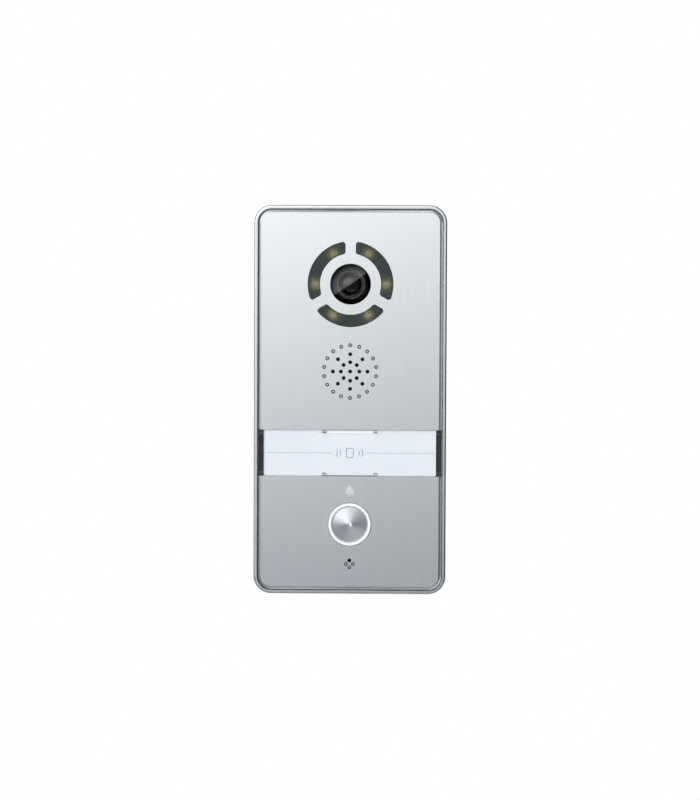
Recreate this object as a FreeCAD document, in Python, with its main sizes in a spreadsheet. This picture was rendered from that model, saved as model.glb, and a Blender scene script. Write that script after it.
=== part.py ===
"""Surface-mounted video door station: camera, speaker, lit name panel, call button and microphone.

The wall is the plane Y = 0 and the front faces -Y.  X runs to the right as the visitor sees it, and +Z is up.
The origin is the middle of the wall plate's back.  "Out" is a distance from the wall towards the visitor, so
a point that stands 5 mm out has Y = -5.
"""

import FreeCAD, Part

import math
import os

import Sketcher
from FreeCAD import Placement, Rotation, Vector

DIMENSIONS = [
    # The frame that shows as the rim
    ("station_width", 99.0),
    ("station_height", 200.0),
    ("station_depth", 33.0),
    ("corner_radius", 9.0),
    ("rim_width", 2.0),
    ("rim_round", 0.8),
    ("rim_inner_break", 0.3),
    ("frame_off_wall", 0.5),
    ("flange_width", 5.0),
    ("flange_thickness", 2.0),
    ("ledge_width", 3.5),
    ("ledge_thickness", 2.0),
    ("cover_boss_radius", 3.4),
    ("cover_boss_height", 6.0),
    ("cover_screw_side_inset", 3.2),
    ("cover_screw_end_inset", 6.0),
    ("carrier_screw_end_inset", 14.0),
    ("carrier_screw_above_middle", 10.0),
    # The face plates
    ("face_recess", 0.4),
    ("plate_thickness", 1.2),
    ("plate_gap", 0.2),
    ("bevel_width", 1.5),
    ("bevel_depth", 0.9),
    ("edge_break", 0.15),
    # The carrier behind them
    ("deck_thickness", 2.9),
    ("deck_gap", 0.15),
    ("fit_gap", 0.15),
    # Camera and its lights
    ("lens_from_top", 40.5),
    ("eye_radius", 10.35),
    ("eye_thickness", 1.3),
    ("eye_recess", 0.4),
    ("eye_seal_width", 1.2),
    ("eye_seal_thickness", 0.3),
    ("barrel_radius", 8.0),
    ("barrel_mouth_radius", 5.5),
    ("barrel_wall", 1.0),
    ("barrel_mouth_cone", 0.8),
    ("barrel_head", 3.0),
    ("barrel_behind_eye", 1.2),
    ("lens_curve", 8.5),
    ("lens_fit", 0.05),
    ("front_lens_sink", 0.3),
    ("front_lens_thickness", 2.3),
    ("rear_lens_radius", 3.2),
    ("rear_lens_sink", 1.2),
    ("rear_lens_thickness", 1.6),
    ("iris_radius", 1.9),
    ("iris_thickness", 0.3),
    ("sensor_side", 6.5),
    ("sensor_thickness", 0.8),
    ("camera_board_side", 27.0),
    ("camera_board_lift", 0.5),
    ("camera_board_corner", 1.0),
    ("camera_screw_inset", 2.4),
    ("small_board_thickness", 1.2),
    ("holder_side", 18.0),
    ("lens_holder_height", 2.6),
    ("arc_inner", 15.85),
    ("arc_outer", 21.9),
    ("arc_bridge", 5.6),
    ("arc_corner", 1.3),
    ("arc_lens_rim", 1.4),
    ("arc_lens_base", 1.5),
    ("arc_lens_recess", 0.15),
    ("lamp_ring", 18.2),
    ("lamp_side", 2.8),
    ("lamp_length", 3.5),
    ("lamp_height", 0.9),
    ("lamp_gap", 0.5),
    ("photocell_radius", 1.4),
    ("lamp_board_inner", 10.5),
    ("lamp_board_outer", 24.5),
    ("lamp_post_ring", 12.7),
    ("lamp_post_radius", 1.6),
    # Speaker
    ("speaker_from_top", 85.4),
    ("sound_hole_radius", 1.0),
    ("sound_ring_1", 4.75),
    ("sound_ring_2", 8.9),
    ("sound_ring_3", 13.55),
    ("dimple_depth", 0.6),
    ("dimple_floor_radius", 0.4),
    ("mesh_radius", 12.4),
    ("mesh_thickness", 0.2),
    ("throat_radius", 11.4),
    ("speaker_radius", 18.0),
    ("speaker_flange", 2.6),
    ("speaker_flange_thickness", 1.4),
    ("speaker_seal", 0.8),
    ("basket_wall", 1.0),
    ("cone_throat", 3.5),
    ("cone_thickness", 0.4),
    ("magnet_radius", 9.5),
    ("magnet_thickness", 3.0),
    ("magnet_off_board", 0.4),
    # Name panel
    ("panel_from_bottom", 72.6),
    ("panel_height", 23.6),
    ("panel_end_gap", 3.2),
    ("panel_gap", 0.15),
    ("panel_thickness", 2.3),
    ("panel_proud", 0.1),
    ("notch_length", 28.2),
    ("notch_depth", 1.6),
    ("leg_width", 1.8),
    ("leg_reach", 1.6),
    ("leg_drop", 0.9),
    ("leg_gap", 0.15),
    ("leg_edge_gap", 0.3),
    ("web_thickness", 0.5),
    ("ear_length", 2.4),
    ("ear_root", 0.5),
    ("ear_height", 1.3),
    ("ear_from_edge", 1.1),
    ("ear_thickness", 1.2),
    ("card_margin", 0.2),
    ("card_thickness", 0.25),
    ("card_gap", 0.05),
    ("guide_side_gap", 0.3),
    ("guide_leg_gap", 0.2),
    ("guide_thickness", 3.0),
    ("end_slot_depth", 2.2),
    ("end_slot_under", 0.5),
    ("end_slot_short", 1.6),
    ("end_rib_width", 0.6),
    ("end_rib_drop", 1.0),
    ("end_rib_short", 3.0),
    ("end_rib_root", 0.3),
    ("antenna_gap", 0.9),
    ("antenna_thickness", 1.2),
    ("coil_track", 0.8),
    ("coil_pitch", 1.6),
    ("coil_thickness", 0.1),
    # Call button
    ("button_from_bottom", 35.8),
    ("light_ring_outer", 10.95),
    ("slide_gap", 0.2),
    ("cap_radius", 9.2),
    ("light_ring_proud", 1.0),
    ("light_ring_round", 0.35),
    ("cap_below_ring", 1.5),
    ("cap_cone", 0.8),
    ("cap_round", 0.3),
    ("cap_height", 2.6),
    ("cap_collar", 0.7),
    ("cap_collar_height", 1.0),
    ("button_travel", 1.5),
    ("stem_radius", 3.0),
    ("ring_flange", 2.2),
    ("ring_flange_thickness", 1.5),
    ("ring_seal_thickness", 0.5),
    ("seal_fit", 0.05),
    ("ring_off_board", 1.2),
    ("switch_side", 6.2),
    ("switch_height", 3.0),
    ("plunger_radius", 1.6),
    ("plunger_reach", 1.8),
    ("guide_base", 3.5),
    ("guide_inset", 0.3),
    ("guide_hub_height", 2.5),
    ("guide_hub_wall", 1.1),
    ("button_spring_radius", 6.2),
    ("button_spring_wire", 0.3),
    ("button_spring_turns", 4.0),
    # Microphone
    ("microphone_from_bottom", 17.25),
    ("microphone_hole_radius", 0.95),
    ("microphone_pitch", 1.8),
    ("boot_radius", 4.6),
    ("capsule_radius", 3.0),
    ("capsule_height", 3.0),
    ("capsule_from_deck", 1.6),
    ("lead_radius", 0.3),
    ("lead_pitch", 2.54),
    # Main board and what it carries
    ("board_gap", 8.9),
    ("board_thickness", 1.6),
    ("board_side_margin", 8.0),
    ("board_end_margin", 9.0),
    ("board_corner", 2.0),
    ("post_radius", 3.0),
    ("post_inset", 4.0),
    ("shield_width", 30.0),
    ("shield_height", 19.0),
    ("shield_corner", 0.8),
    ("shield_thickness", 2.4),
    ("shield_bend", 0.3),
    ("chip_thickness", 1.2),
    ("capacitor_radius", 3.15),
    ("capacitor_height", 6.2),
    ("capacitor_crimp", 0.4),
    ("power_parts_above_bay", 26.0),
    ("relay_width", 15.6),
    ("relay_height", 19.0),
    ("relay_thickness", 6.4),
    ("relay_edge", 0.5),
    ("relay_aside", 22.0),
    ("transformer_base", 13.0),
    ("transformer_core", 10.0),
    ("transformer_height", 15.0),
    ("transformer_base_thickness", 1.0),
    ("transformer_thickness", 6.0),
    ("transformer_aside", 2.0),
    ("bay_width", 52.0),
    ("bay_height", 48.0),
    ("bay_above_centre", -4.0),
    ("bay_wall", 1.5),
    ("bay_corner", 2.0),
    ("bay_board_gap", 0.4),
    ("terminal_pitch", 3.81),
    ("terminal_count", 8.0),
    ("terminal_width", 10.0),
    ("terminal_height", 10.0),
    ("terminal_from_bay_side", 7.5),
    ("terminal_end_wall", 0.5),
    ("wire_entry", 2.6),
    ("clamp_screw_radius", 1.3),
    ("socket_width", 16.0),
    ("socket_length", 21.5),
    ("socket_height", 13.3),
    ("socket_mouth_width", 12.0),
    ("socket_mouth_height", 9.0),
    ("socket_mouth_depth", 15.0),
    ("socket_from_bay_side", 3.0),
    ("socket_from_bay_top", 2.0),
    ("tamper_across", 30.0),
    ("tamper_up", 42.0),
    ("tamper_case", 8.0),
    ("tamper_case_height", 6.5),
    ("tamper_pin_radius", 1.4),
    ("tamper_pin_hole", 2.0),
    ("tamper_pin_sink", 3.4),
    ("tamper_spring_wire", 0.2),
    ("tamper_spring_turns", 5.0),
    ("spring_end_gap", 0.05),
    # Rear cover
    ("cover_off_wall", 8.0),
    ("cover_thickness", 2.5),
    ("cover_gap", 0.3),
    ("cover_seal_thickness", 0.7),
    ("cover_seal_width", 1.2),
    # Wall plate
    ("wall_plate_thickness", 1.5),
    ("wall_plate_side_gap", 2.0),
    ("wall_plate_end_gap", 3.2),
    ("wall_plate_corner", 4.0),
    ("wall_hole_across", 60.0),
    ("wall_hole_up", 150.0),
    ("wall_hole_radius", 2.25),
    ("box_slot_spacing", 60.0),
    ("box_slot_length", 8.0),
    ("box_slot_width", 4.4),
    ("box_slot_below_centre", 44.0),
    ("hook_across", 24.0),
    ("hook_width", 12.0),
    ("hook_from_top", 11.0),
    ("hook_reach", 5.0),
    ("hook_lip", 4.0),
    ("hook_gap", 0.3),
    ("hook_cheek", 2.0),
    ("lock_tab_width", 18.0),
    ("lock_tab_reach", 7.4),
    ("lock_screw_out", 4.2),
    ("lock_block_width", 11.0),
    ("lock_block_height", 2.6),
    ("lock_block_root", 0.5),
    ("lock_head_sink", 0.3),
    # Screws
    ("thread_radius", 1.5),
    ("screw_clearance", 0.2),
    ("screw_head_radius", 2.7),
    ("screw_head_height", 1.4),
    ("screw_bite", 5.0),
    ("small_thread_radius", 1.0),
    ("small_head_radius", 1.8),
    ("small_head_height", 0.9),
    ("small_screw_bite", 2.0),
    ("drive_slot", 0.5),
]

document = FreeCAD.newDocument("DoorStation")
sheet = document.addObject("Spreadsheet::Sheet", "dim")
for line, (alias, size) in enumerate(DIMENSIONS, start=1):
    sheet.set(f"A{line}", alias)
    sheet.set(f"B{line}", str(size))
    sheet.setAlias(f"B{line}", alias)
document.recompute()

# Levels, as distances out from the wall
PLATE_FRONT = "(dim.station_depth - dim.face_recess)"
PLATE_BACK = f"({PLATE_FRONT} - dim.plate_thickness)"
DECK_BACK = f"({PLATE_BACK} - dim.deck_thickness)"
BOARD_FRONT = f"({DECK_BACK} - dim.board_gap)"
BOARD_BACK = f"({BOARD_FRONT} - dim.board_thickness)"
COVER_BACK = "dim.cover_off_wall"
COVER_FRONT = "(dim.cover_off_wall + dim.cover_thickness)"
LEDGE_BACK = f"({COVER_FRONT} + dim.cover_seal_thickness)"
LEDGE_FRONT = f"({LEDGE_BACK} + dim.ledge_thickness)"
PANEL_FRONT = f"({PLATE_FRONT} + dim.panel_proud)"
PANEL_BACK = f"({PANEL_FRONT} - dim.panel_thickness)"

# Heights above the middle of the station
LENS_Z = "(dim.station_height / 2 - dim.lens_from_top)"
SPEAKER_Z = "(dim.station_height / 2 - dim.speaker_from_top)"
PANEL_Z = "(dim.panel_from_bottom - dim.station_height / 2)"
BUTTON_Z = "(dim.button_from_bottom - dim.station_height / 2)"
MICROPHONE_Z = "(dim.microphone_from_bottom - dim.station_height / 2)"
BAY_Z = "dim.bay_above_centre"

# The clear space inside the frame's wall, and the name panel that spans it
INSIDE_WIDTH = "(dim.station_width - 2 * dim.rim_width)"
INSIDE_HEIGHT = "(dim.station_height - 2 * dim.rim_width)"
INSIDE_CORNER = "(dim.corner_radius - dim.rim_width)"
PANEL_WIDTH = f"({INSIDE_WIDTH} - 2 * dim.panel_end_gap)"
BOARD_WIDTH = f"({INSIDE_WIDTH} - 2 * dim.board_side_margin)"
BOARD_HEIGHT = f"({INSIDE_HEIGHT} - 2 * dim.board_end_margin)"


def value(expression):
    """The number that an expression on the dimension sheet comes to."""
    result = sheet.evalExpression(expression)
    return float(getattr(result, "Value", result))


# ---- Sketches -------------------------------------------------------------------------------------------


def bind(sketch, kind, *where, size):
    """Adds a dimension to a sketch and ties it to the sheet."""
    number = sketch.addConstraint(Sketcher.Constraint(kind, *where, value(size)))
    sketch.setExpression(f"Constraints[{number}]", size)


def place_point(sketch, geometry, point, x, z):
    """Ties a point of the sketch to (x, z) from the sketch's origin."""
    for distance, kind, axis in ((x, "DistanceX", -2), (z, "DistanceY", -1)):
        if distance == "0":
            sketch.addConstraint(Sketcher.Constraint("PointOnObject", geometry, point, axis))
        else:
            bind(sketch, kind, -1, 1, geometry, point, size=distance)


def circle(radius, x="0", z="0"):
    """A circle centred on (x, z)."""

    def draw(sketch):
        centre = Vector(value(x), value(z), 0)
        index = sketch.addGeometry(Part.Circle(centre, Vector(0, 0, 1), value(radius)))
        bind(sketch, "Radius", index, size=radius)
        place_point(sketch, index, 3, x, z)

    return draw


def rectangle(width, height, x="0", z="0"):
    """A rectangle centred on (x, z)."""

    def draw(sketch):
        left, right = (value(x) + side * value(width) / 2 for side in (-1, 1))
        low, high = (value(z) + side * value(height) / 2 for side in (-1, 1))
        corners = [Vector(left, low), Vector(right, low), Vector(right, high), Vector(left, high)]
        sides = [
            sketch.addGeometry(Part.LineSegment(corners[n], corners[(n + 1) % 4])) for n in range(4)
        ]
        for n, side in enumerate(sides):
            sketch.addConstraint(Sketcher.Constraint("Coincident", side, 2, sides[(n + 1) % 4], 1))
            sketch.addConstraint(Sketcher.Constraint("Vertical" if n % 2 else "Horizontal", side))
        bind(sketch, "DistanceX", sides[0], 1, sides[0], 2, size=width)
        bind(sketch, "DistanceY", sides[1], 1, sides[1], 2, size=height)
        centre_on(sketch, (sides[0], 1), (sides[1], 2), x, z)

    return draw


def rounded_rectangle(width, height, corner, x="0", z="0"):
    """A rectangle with four equal round corners, centred on (x, z)."""

    def draw(sketch):
        radius = value(corner)
        across, up = value(width) / 2 - radius, value(height) / 2 - radius
        middle = Vector(value(x), value(z), 0)
        lines, arcs = [], []
        for n, (right, top) in enumerate(((1, -1), (1, 1), (-1, 1), (-1, -1))):
            centre = middle + Vector(right * across, top * up, 0)
            start = math.radians(90 * (n - 1))
            arc = Part.ArcOfCircle(Part.Circle(centre, Vector(0, 0, 1), radius), start, start + math.pi / 2)
            before = [
                middle + Vector(-across, -up - radius, 0),
                middle + Vector(across + radius, -up, 0),
                middle + Vector(across, up + radius, 0),
                middle + Vector(-across - radius, up, 0),
            ][n]
            lines.append(sketch.addGeometry(Part.LineSegment(before, arc.StartPoint)))
            arcs.append(sketch.addGeometry(arc))
        for n in range(4):
            sketch.addConstraint(Sketcher.Constraint("Tangent", lines[n], 2, arcs[n], 1))
            sketch.addConstraint(Sketcher.Constraint("Tangent", arcs[n], 2, lines[(n + 1) % 4], 1))
            sketch.addConstraint(Sketcher.Constraint("Vertical" if n % 2 else "Horizontal", lines[n]))
            if n:
                sketch.addConstraint(Sketcher.Constraint("Equal", arcs[0], arcs[n]))
        bind(sketch, "Radius", arcs[0], size=corner)
        bind(sketch, "DistanceX", lines[3], 1, lines[1], 1, size=width)
        bind(sketch, "DistanceY", lines[0], 1, lines[2], 1, size=height)
        centre_on(sketch, (arcs[3], 3), (arcs[1], 3), x, z)

    return draw


def polygon(points):
    """A closed outline of straight lines through points given as pairs of expressions."""

    def draw(sketch):
        corners = [Vector(value(x), value(z), 0) for x, z in points]
        count = len(corners)
        sides = [
            sketch.addGeometry(Part.LineSegment(corners[n], corners[(n + 1) % count])) for n in range(count)
        ]
        for n, side in enumerate(sides):
            sketch.addConstraint(Sketcher.Constraint("Coincident", side, 2, sides[(n + 1) % count], 1))
            place_point(sketch, side, 1, *points[n])

    return draw


def slot(length, width, x="0", z="0"):
    """A level slot with round ends; its length is over all."""

    def draw(sketch):
        radius, reach = value(width) / 2, (value(length) - value(width)) / 2
        middle = Vector(value(x), value(z), 0)
        right = Part.Circle(middle + Vector(reach, 0, 0), Vector(0, 0, 1), radius)
        left = Part.Circle(middle - Vector(reach, 0, 0), Vector(0, 0, 1), radius)
        ends = [
            sketch.addGeometry(Part.ArcOfCircle(right, -math.pi / 2, math.pi / 2)),
            sketch.addGeometry(Part.ArcOfCircle(left, math.pi / 2, 3 * math.pi / 2)),
        ]
        up, along = Vector(0, radius, 0), Vector(reach, 0, 0)
        top = sketch.addGeometry(Part.LineSegment(middle + along + up, middle - along + up))
        low = sketch.addGeometry(Part.LineSegment(middle - along - up, middle + along - up))
        joints = ((ends[0], 2, top, 1), (top, 2, ends[1], 1), (ends[1], 2, low, 1), (low, 2, ends[0], 1))
        for joined in joints:
            sketch.addConstraint(Sketcher.Constraint("Tangent", *joined))
        sketch.addConstraint(Sketcher.Constraint("Horizontal", top))
        sketch.addConstraint(Sketcher.Constraint("Horizontal", low))
        bind(sketch, "Radius", ends[0], size=f"({width}) / 2")
        bind(sketch, "DistanceX", ends[1], 3, ends[0], 3, size=f"({length}) - ({width})")
        centre_on(sketch, (ends[1], 3), (ends[0], 3), x, z)

    return draw


def centre_on(sketch, one, other, x, z):
    """Makes two opposite points of a figure symmetric about (x, z)."""
    if x == "0" and z == "0":
        sketch.addConstraint(Sketcher.Constraint("Symmetric", *one, *other, -1, 1))
        return
    middle = sketch.addGeometry(Part.Point(Vector(value(x), value(z), 0)), True)
    place_point(sketch, middle, 1, x, z)
    sketch.addConstraint(Sketcher.Constraint("Symmetric", *one, *other, middle, 1))


def arc_window(inner, outer, bridge, corner):
    """A third of a ring about the sketch's X axis, with ends parallel to the bridges between windows."""

    def draw(sketch):
        r_in, r_out, soft = value(inner), value(outer), value(corner)
        lean = math.radians(60)
        along = Vector(math.cos(lean), math.sin(lean), 0)
        into = Vector(math.sin(lean), -math.cos(lean), 0)
        off = value(bridge) / 2 + soft

        def corner_centre(reach):
            return along * math.sqrt(reach**2 - off**2) + into * off

        def mirrored(point):
            return Vector(point.x, -point.y, 0)

        def arc(centre, radius, start, end):
            first = math.atan2(start.y - centre.y, start.x - centre.x)
            last = math.atan2(end.y - centre.y, end.x - centre.x)
            last += 2 * math.pi if last < first else 0
            return sketch.addGeometry(
                Part.ArcOfCircle(Part.Circle(centre, Vector(0, 0, 1), radius), first, last)
            )

        far, near = corner_centre(r_out - soft), corner_centre(r_in + soft)
        on_outer, on_inner = far * (r_out / (r_out - soft)), near * (r_in / (r_in + soft))
        side_far, side_near = far - into * soft, near - into * soft
        middle = Vector(0, 0, 0)
        outer_arc = arc(middle, r_out, mirrored(on_outer), on_outer)
        inner_arc = arc(middle, r_in, mirrored(on_inner), on_inner)
        top_far = arc(far, soft, on_outer, side_far)
        top_near = arc(near, soft, side_near, on_inner)
        low_near = arc(mirrored(near), soft, mirrored(on_inner), mirrored(side_near))
        low_far = arc(mirrored(far), soft, mirrored(side_far), mirrored(on_outer))
        top_side = sketch.addGeometry(Part.LineSegment(side_far, side_near))
        low_side = sketch.addGeometry(Part.LineSegment(mirrored(side_near), mirrored(side_far)))
        for joined in (
            (outer_arc, 2, top_far, 1),
            (top_far, 2, top_side, 1),
            (top_side, 2, top_near, 1),
            (top_near, 2, inner_arc, 2),
            (inner_arc, 1, low_near, 1),
            (low_near, 2, low_side, 1),
            (low_side, 2, low_far, 1),
            (low_far, 2, outer_arc, 1),
        ):
            sketch.addConstraint(Sketcher.Constraint("Tangent", *joined))
        for round_end in (outer_arc, inner_arc):
            sketch.addConstraint(Sketcher.Constraint("Coincident", round_end, 3, -1, 1))
        for small in (top_near, low_near, low_far):
            sketch.addConstraint(Sketcher.Constraint("Equal", top_far, small))
        bind(sketch, "Radius", outer_arc, size=outer)
        bind(sketch, "Radius", inner_arc, size=inner)
        bind(sketch, "Radius", top_far, size=corner)
        for side, turn in ((top_side, -120), (low_side, -60)):
            bind(sketch, "Distance", -1, 1, side, size=f"({bridge}) / 2")
            sketch.addConstraint(Sketcher.Constraint("Angle", side, math.radians(turn)))

    return draw


# ---- Features -------------------------------------------------------------------------------------------


finished = {}


def new_body(name):
    """A PartDesign body with its label."""
    body = document.addObject("PartDesign::Body", name)
    body.Label = name
    finished[name] = body
    return body


def sketch_on(body, figures, out, x="0", z="0", turn=0, plane="XZ_Plane"):
    """A sketch that faces the front, `out` from the wall, with its origin at (x, z)."""
    sketch = body.newObject("Sketcher::SketchObject", f"{body.Name}_sketch")
    origin_plane = next(f for f in body.Origin.OriginFeatures if f.Role == plane)
    sketch.AttachmentSupport = [(origin_plane, "")]
    sketch.MapMode = "FlatFace"
    sketch.AttachmentOffset = Placement(Vector(0, 0, 0), Rotation(Vector(0, 0, 1), turn))
    for axis, distance in (("x", x), ("y", z), ("z", out)):
        sketch.setExpression(f".AttachmentOffset.Base.{axis}", distance)
    for draw in figures:
        draw(sketch)
    return sketch


def pad(body, figures, start, end, **where):
    """Adds the figures as solid from `start` to `end`, both out from the wall."""
    feature = body.newObject("PartDesign::Pad", f"{body.Name}_pad")
    feature.Profile = sketch_on(body, figures, start, **where)
    feature.setExpression("Length", f"({end}) - ({start})")
    document.recompute()
    return feature


def cut(body, figures, start, end, **where):
    """Cuts the figures away from `start` to `end`, both out from the wall."""
    volume = body.Shape.Volume
    feature = body.newObject("PartDesign::Pocket", f"{body.Name}_pocket")
    feature.Profile = sketch_on(body, figures, end, **where)
    feature.setExpression("Length", f"({end}) - ({start})")
    document.recompute()
    if body.Shape.Volume > volume - 1e-6:
        raise RuntimeError(f"{feature.Name} cuts nothing")
    return feature


def repeat_round(body, feature, count, about=None):
    """Repeats a feature round the origin of its own sketch, or of another feature's."""
    pattern = body.newObject("PartDesign::PolarPattern", f"{body.Name}_pattern")
    pattern.Originals = [feature]
    pattern.Axis = ((about or feature).Profile[0], ["N_Axis"])
    pattern.Angle = 360
    pattern.Occurrences = count
    body.Tip = pattern
    document.recompute()
    return pattern


def repeat_up(body, feature, count, pitch):
    """Repeats a feature upwards at a pitch."""
    pattern = body.newObject("PartDesign::LinearPattern", f"{body.Name}_pattern")
    pattern.Originals = [feature]
    pattern.Direction = (feature.Profile[0], ["V_Axis"])
    pattern.setExpression("Occurrences", count)
    pattern.setExpression("Length", f"({pitch}) * ({count} - 1)")
    body.Tip = pattern
    document.recompute()
    return pattern


def edges_at(feature, out, test):
    """Names of a feature's edges that lie flat, `out` from the wall, and pass the test."""
    level = -value(out)
    names = []
    for number, edge in enumerate(feature.Shape.Edges, start=1):
        box = edge.BoundBox
        if abs(box.YMin - level) < 1e-4 and abs(box.YMax - level) < 1e-4 and test(edge):
            names.append(f"Edge{number}")
    return names


def dress(body, kind, feature, names, **sizes):
    """A fillet or chamfer on named edges, with its sizes tied to the sheet."""
    dressed = body.newObject(f"PartDesign::{kind}", f"{body.Name}_{kind.lower()}")
    dressed.Base = (feature, names)
    if "Size2" in sizes:
        dressed.ChamferType = "Two distances"
    for name, size in sizes.items():
        dressed.setExpression(name, size)
    document.recompute()
    return dressed


def place(part, x="0", z="0", out="0", turn=90):
    """Puts a Part primitive on the station, with its own Z axis towards the visitor."""
    part.Placement = Placement(Vector(0, 0, 0), Rotation(Vector(1, 0, 0), turn))
    part.setExpression(".Placement.Base.x", x)
    part.setExpression(".Placement.Base.y", f"-({out})")
    part.setExpression(".Placement.Base.z", z)


def primitive(kind, name, sizes, **where):
    """A Part primitive, with its sizes tied to the sheet."""
    part = document.addObject(f"Part::{kind}", name)
    for size, expression in sizes.items():
        part.setExpression(size, expression)
    place(part, **where)
    return part


def boolean(kind, name, base, tool):
    """A Part boolean of two objects."""
    result = document.addObject(f"Part::{kind}", name)
    result.Label = name
    result.Base = base
    result.Tool = tool
    document.recompute()
    finished[name] = result
    for used in (base, tool):
        finished.pop(used.Label, None)
    return result


def coil_spring(name, radius, wire, turns, back, front, x, z):
    """A compression spring of round wire, its coils just inside the space from `back` to `front`.

    Each half turn is one arc, tilted so that it climbs by half the pitch and meets the next one smoothly.
    """
    reach, thick, halves = value(radius), value(wire), round(2 * value(turns))
    rest = value(f"{front} - {back} - 2 * ({wire} + dim.spring_end_gap)")

    def on_coil(half_turns):
        angle = math.pi * half_turns
        return Vector(reach * math.cos(angle), -rest * half_turns / halves, reach * math.sin(angle))

    arcs = [Part.Arc(on_coil(n), on_coil(n + 0.5), on_coil(n + 1)) for n in range(halves)]
    path = Part.Wire([arc.toShape() for arc in arcs])
    section = Part.Face(Part.Wire(Part.Circle(on_coil(0), Vector(0, 0, 1), thick).toShape()))
    spring = document.addObject("Part::Feature", name)
    spring.Label = name
    spring.Shape = path.makePipe(section)
    first_turn = -value(f"{back} + {wire} + dim.spring_end_gap")
    spring.Placement = Placement(Vector(value(x), first_turn, value(z)), Rotation())
    finished[name] = spring
    return spring


def screws(name, places, seat, bite, head=1, small=False):
    """Screws with slotted pan heads: `seat` is under the head, and `head` is +1 if it faces the visitor."""
    body = new_body(name)
    size = "small_" if small else ""
    thread = f"dim.{size}thread_radius"
    head_radius = "dim.small_head_radius" if small else "dim.screw_head_radius"
    head_height = "dim.small_head_height" if small else "dim.screw_head_height"
    if head > 0:
        tip, top = f"({seat}) - ({bite})", f"({seat}) + {head_height}"
        low, high, slot = seat, top, (f"({top}) - {head_height} / 2", top)
    else:
        tip, top = f"({seat}) + ({bite})", f"({seat}) - {head_height}"
        low, high, slot = top, seat, (top, f"({top}) + {head_height} / 2")
    heads = [circle(head_radius, x, z) for x, z in places]
    shanks = [circle(thread, x, z) for x, z in places]
    slots = [rectangle(f"2.4 * {thread}", "dim.drive_slot", x, z) for x, z in places]
    pad(body, heads, low, high)
    pad(body, shanks, *((tip, seat) if head > 0 else (seat, tip)))
    cut(body, slots, *slot)
    return body


def four_corners(x, z):
    """The four places at (+-x, +-z)."""
    return [(f"{a}({x})", f"{b}({z})") for a in ("-", "") for b in ("-", "")]


# The camera and its lights
EYE_FRONT = f"({PLATE_FRONT} - dim.eye_recess)"
EYE_BACK = f"({EYE_FRONT} - dim.eye_thickness)"
BARREL_FRONT = f"({EYE_BACK} - dim.barrel_behind_eye)"
BARREL_SHOULDER = f"({BARREL_FRONT} - dim.barrel_head)"
CAMERA_BOARD_BACK = f"({BOARD_FRONT} + dim.camera_board_lift)"
CAMERA_BOARD_FRONT = f"({CAMERA_BOARD_BACK} + dim.small_board_thickness)"
HOLDER_FRONT = f"({CAMERA_BOARD_FRONT} + dim.lens_holder_height)"
NECK_RADIUS = "(dim.barrel_mouth_radius + dim.barrel_wall)"
LAMP_FRONT = f"({DECK_BACK} - dim.arc_lens_base - dim.lamp_gap)"
LAMP_BOARD_FRONT = f"({LAMP_FRONT} - dim.lamp_height)"
LAMP_BOARD_BACK = f"({LAMP_BOARD_FRONT} - dim.small_board_thickness)"
CAMERA_SCREW_OFF = "(dim.camera_board_side / 2 - dim.camera_screw_inset)"
CAMERA_SCREWS = [
    (f"-{CAMERA_SCREW_OFF}", f"{LENS_Z} - {CAMERA_SCREW_OFF}"),
    (CAMERA_SCREW_OFF, f"{LENS_Z} + {CAMERA_SCREW_OFF}"),
]
LAMP_BOARD_SCREWS = [
    (f"dim.lamp_post_ring * cos({angle})", f"{LENS_Z} + dim.lamp_post_ring * sin({angle})")
    for angle in (90, 210, 330)
]

LOCK_HEAD_DEPTH = "(dim.screw_head_height + dim.lock_head_sink)"

# The name card and what lies behind it
CARD_BACK = f"({PANEL_BACK} - dim.card_gap - dim.card_thickness)"
GUIDE_BACK = f"({CARD_BACK} - dim.guide_thickness)"
ANTENNA_FRONT = f"({GUIDE_BACK} - dim.antenna_gap)"
ANTENNA_BACK = f"({ANTENNA_FRONT} - dim.antenna_thickness)"
GUIDE_WIDTH = f"({INSIDE_WIDTH} - 2 * (dim.flange_width + dim.guide_side_gap))"
GUIDE_HEIGHT = "(dim.panel_height - 2 * (dim.notch_depth + 2 * dim.leg_gap + dim.guide_leg_gap))"


# ---- Places that several pieces share -------------------------------------------------------------------

COVER_SCREW_X = f"({INSIDE_WIDTH} / 2 - dim.cover_screw_side_inset)"
COVER_SCREW_Z = f"({INSIDE_HEIGHT} / 2 - dim.cover_screw_end_inset)"
COVER_SCREWS = four_corners(COVER_SCREW_X, COVER_SCREW_Z) + [(f"-{COVER_SCREW_X}", "0"), (COVER_SCREW_X, "0")]
CARRIER_SCREW_X = f"({INSIDE_WIDTH} / 2 - dim.flange_width / 2)"
CARRIER_SCREW_Z = f"({INSIDE_HEIGHT} / 2 - dim.carrier_screw_end_inset)"
CARRIER_SCREWS = four_corners(CARRIER_SCREW_X, CARRIER_SCREW_Z) + [
    (f"-{CARRIER_SCREW_X}", "dim.carrier_screw_above_middle"),
    (CARRIER_SCREW_X, "dim.carrier_screw_above_middle"),
]
BOARD_SCREWS = four_corners(f"({BOARD_WIDTH} / 2 - dim.post_inset)", f"({BOARD_HEIGHT} / 2 - dim.post_inset)")


# ---- Frame, carrier and face plates ---------------------------------------------------------------------


def inside(margin="0", corner_margin=None):
    """The inside of the frame's wall, smaller by a margin all round."""
    corner = corner_margin or margin
    return rounded_rectangle(
        f"{INSIDE_WIDTH} - 2 * ({margin})",
        f"{INSIDE_HEIGHT} - 2 * ({margin})",
        f"{INSIDE_CORNER} - ({corner})",
    )


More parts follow.
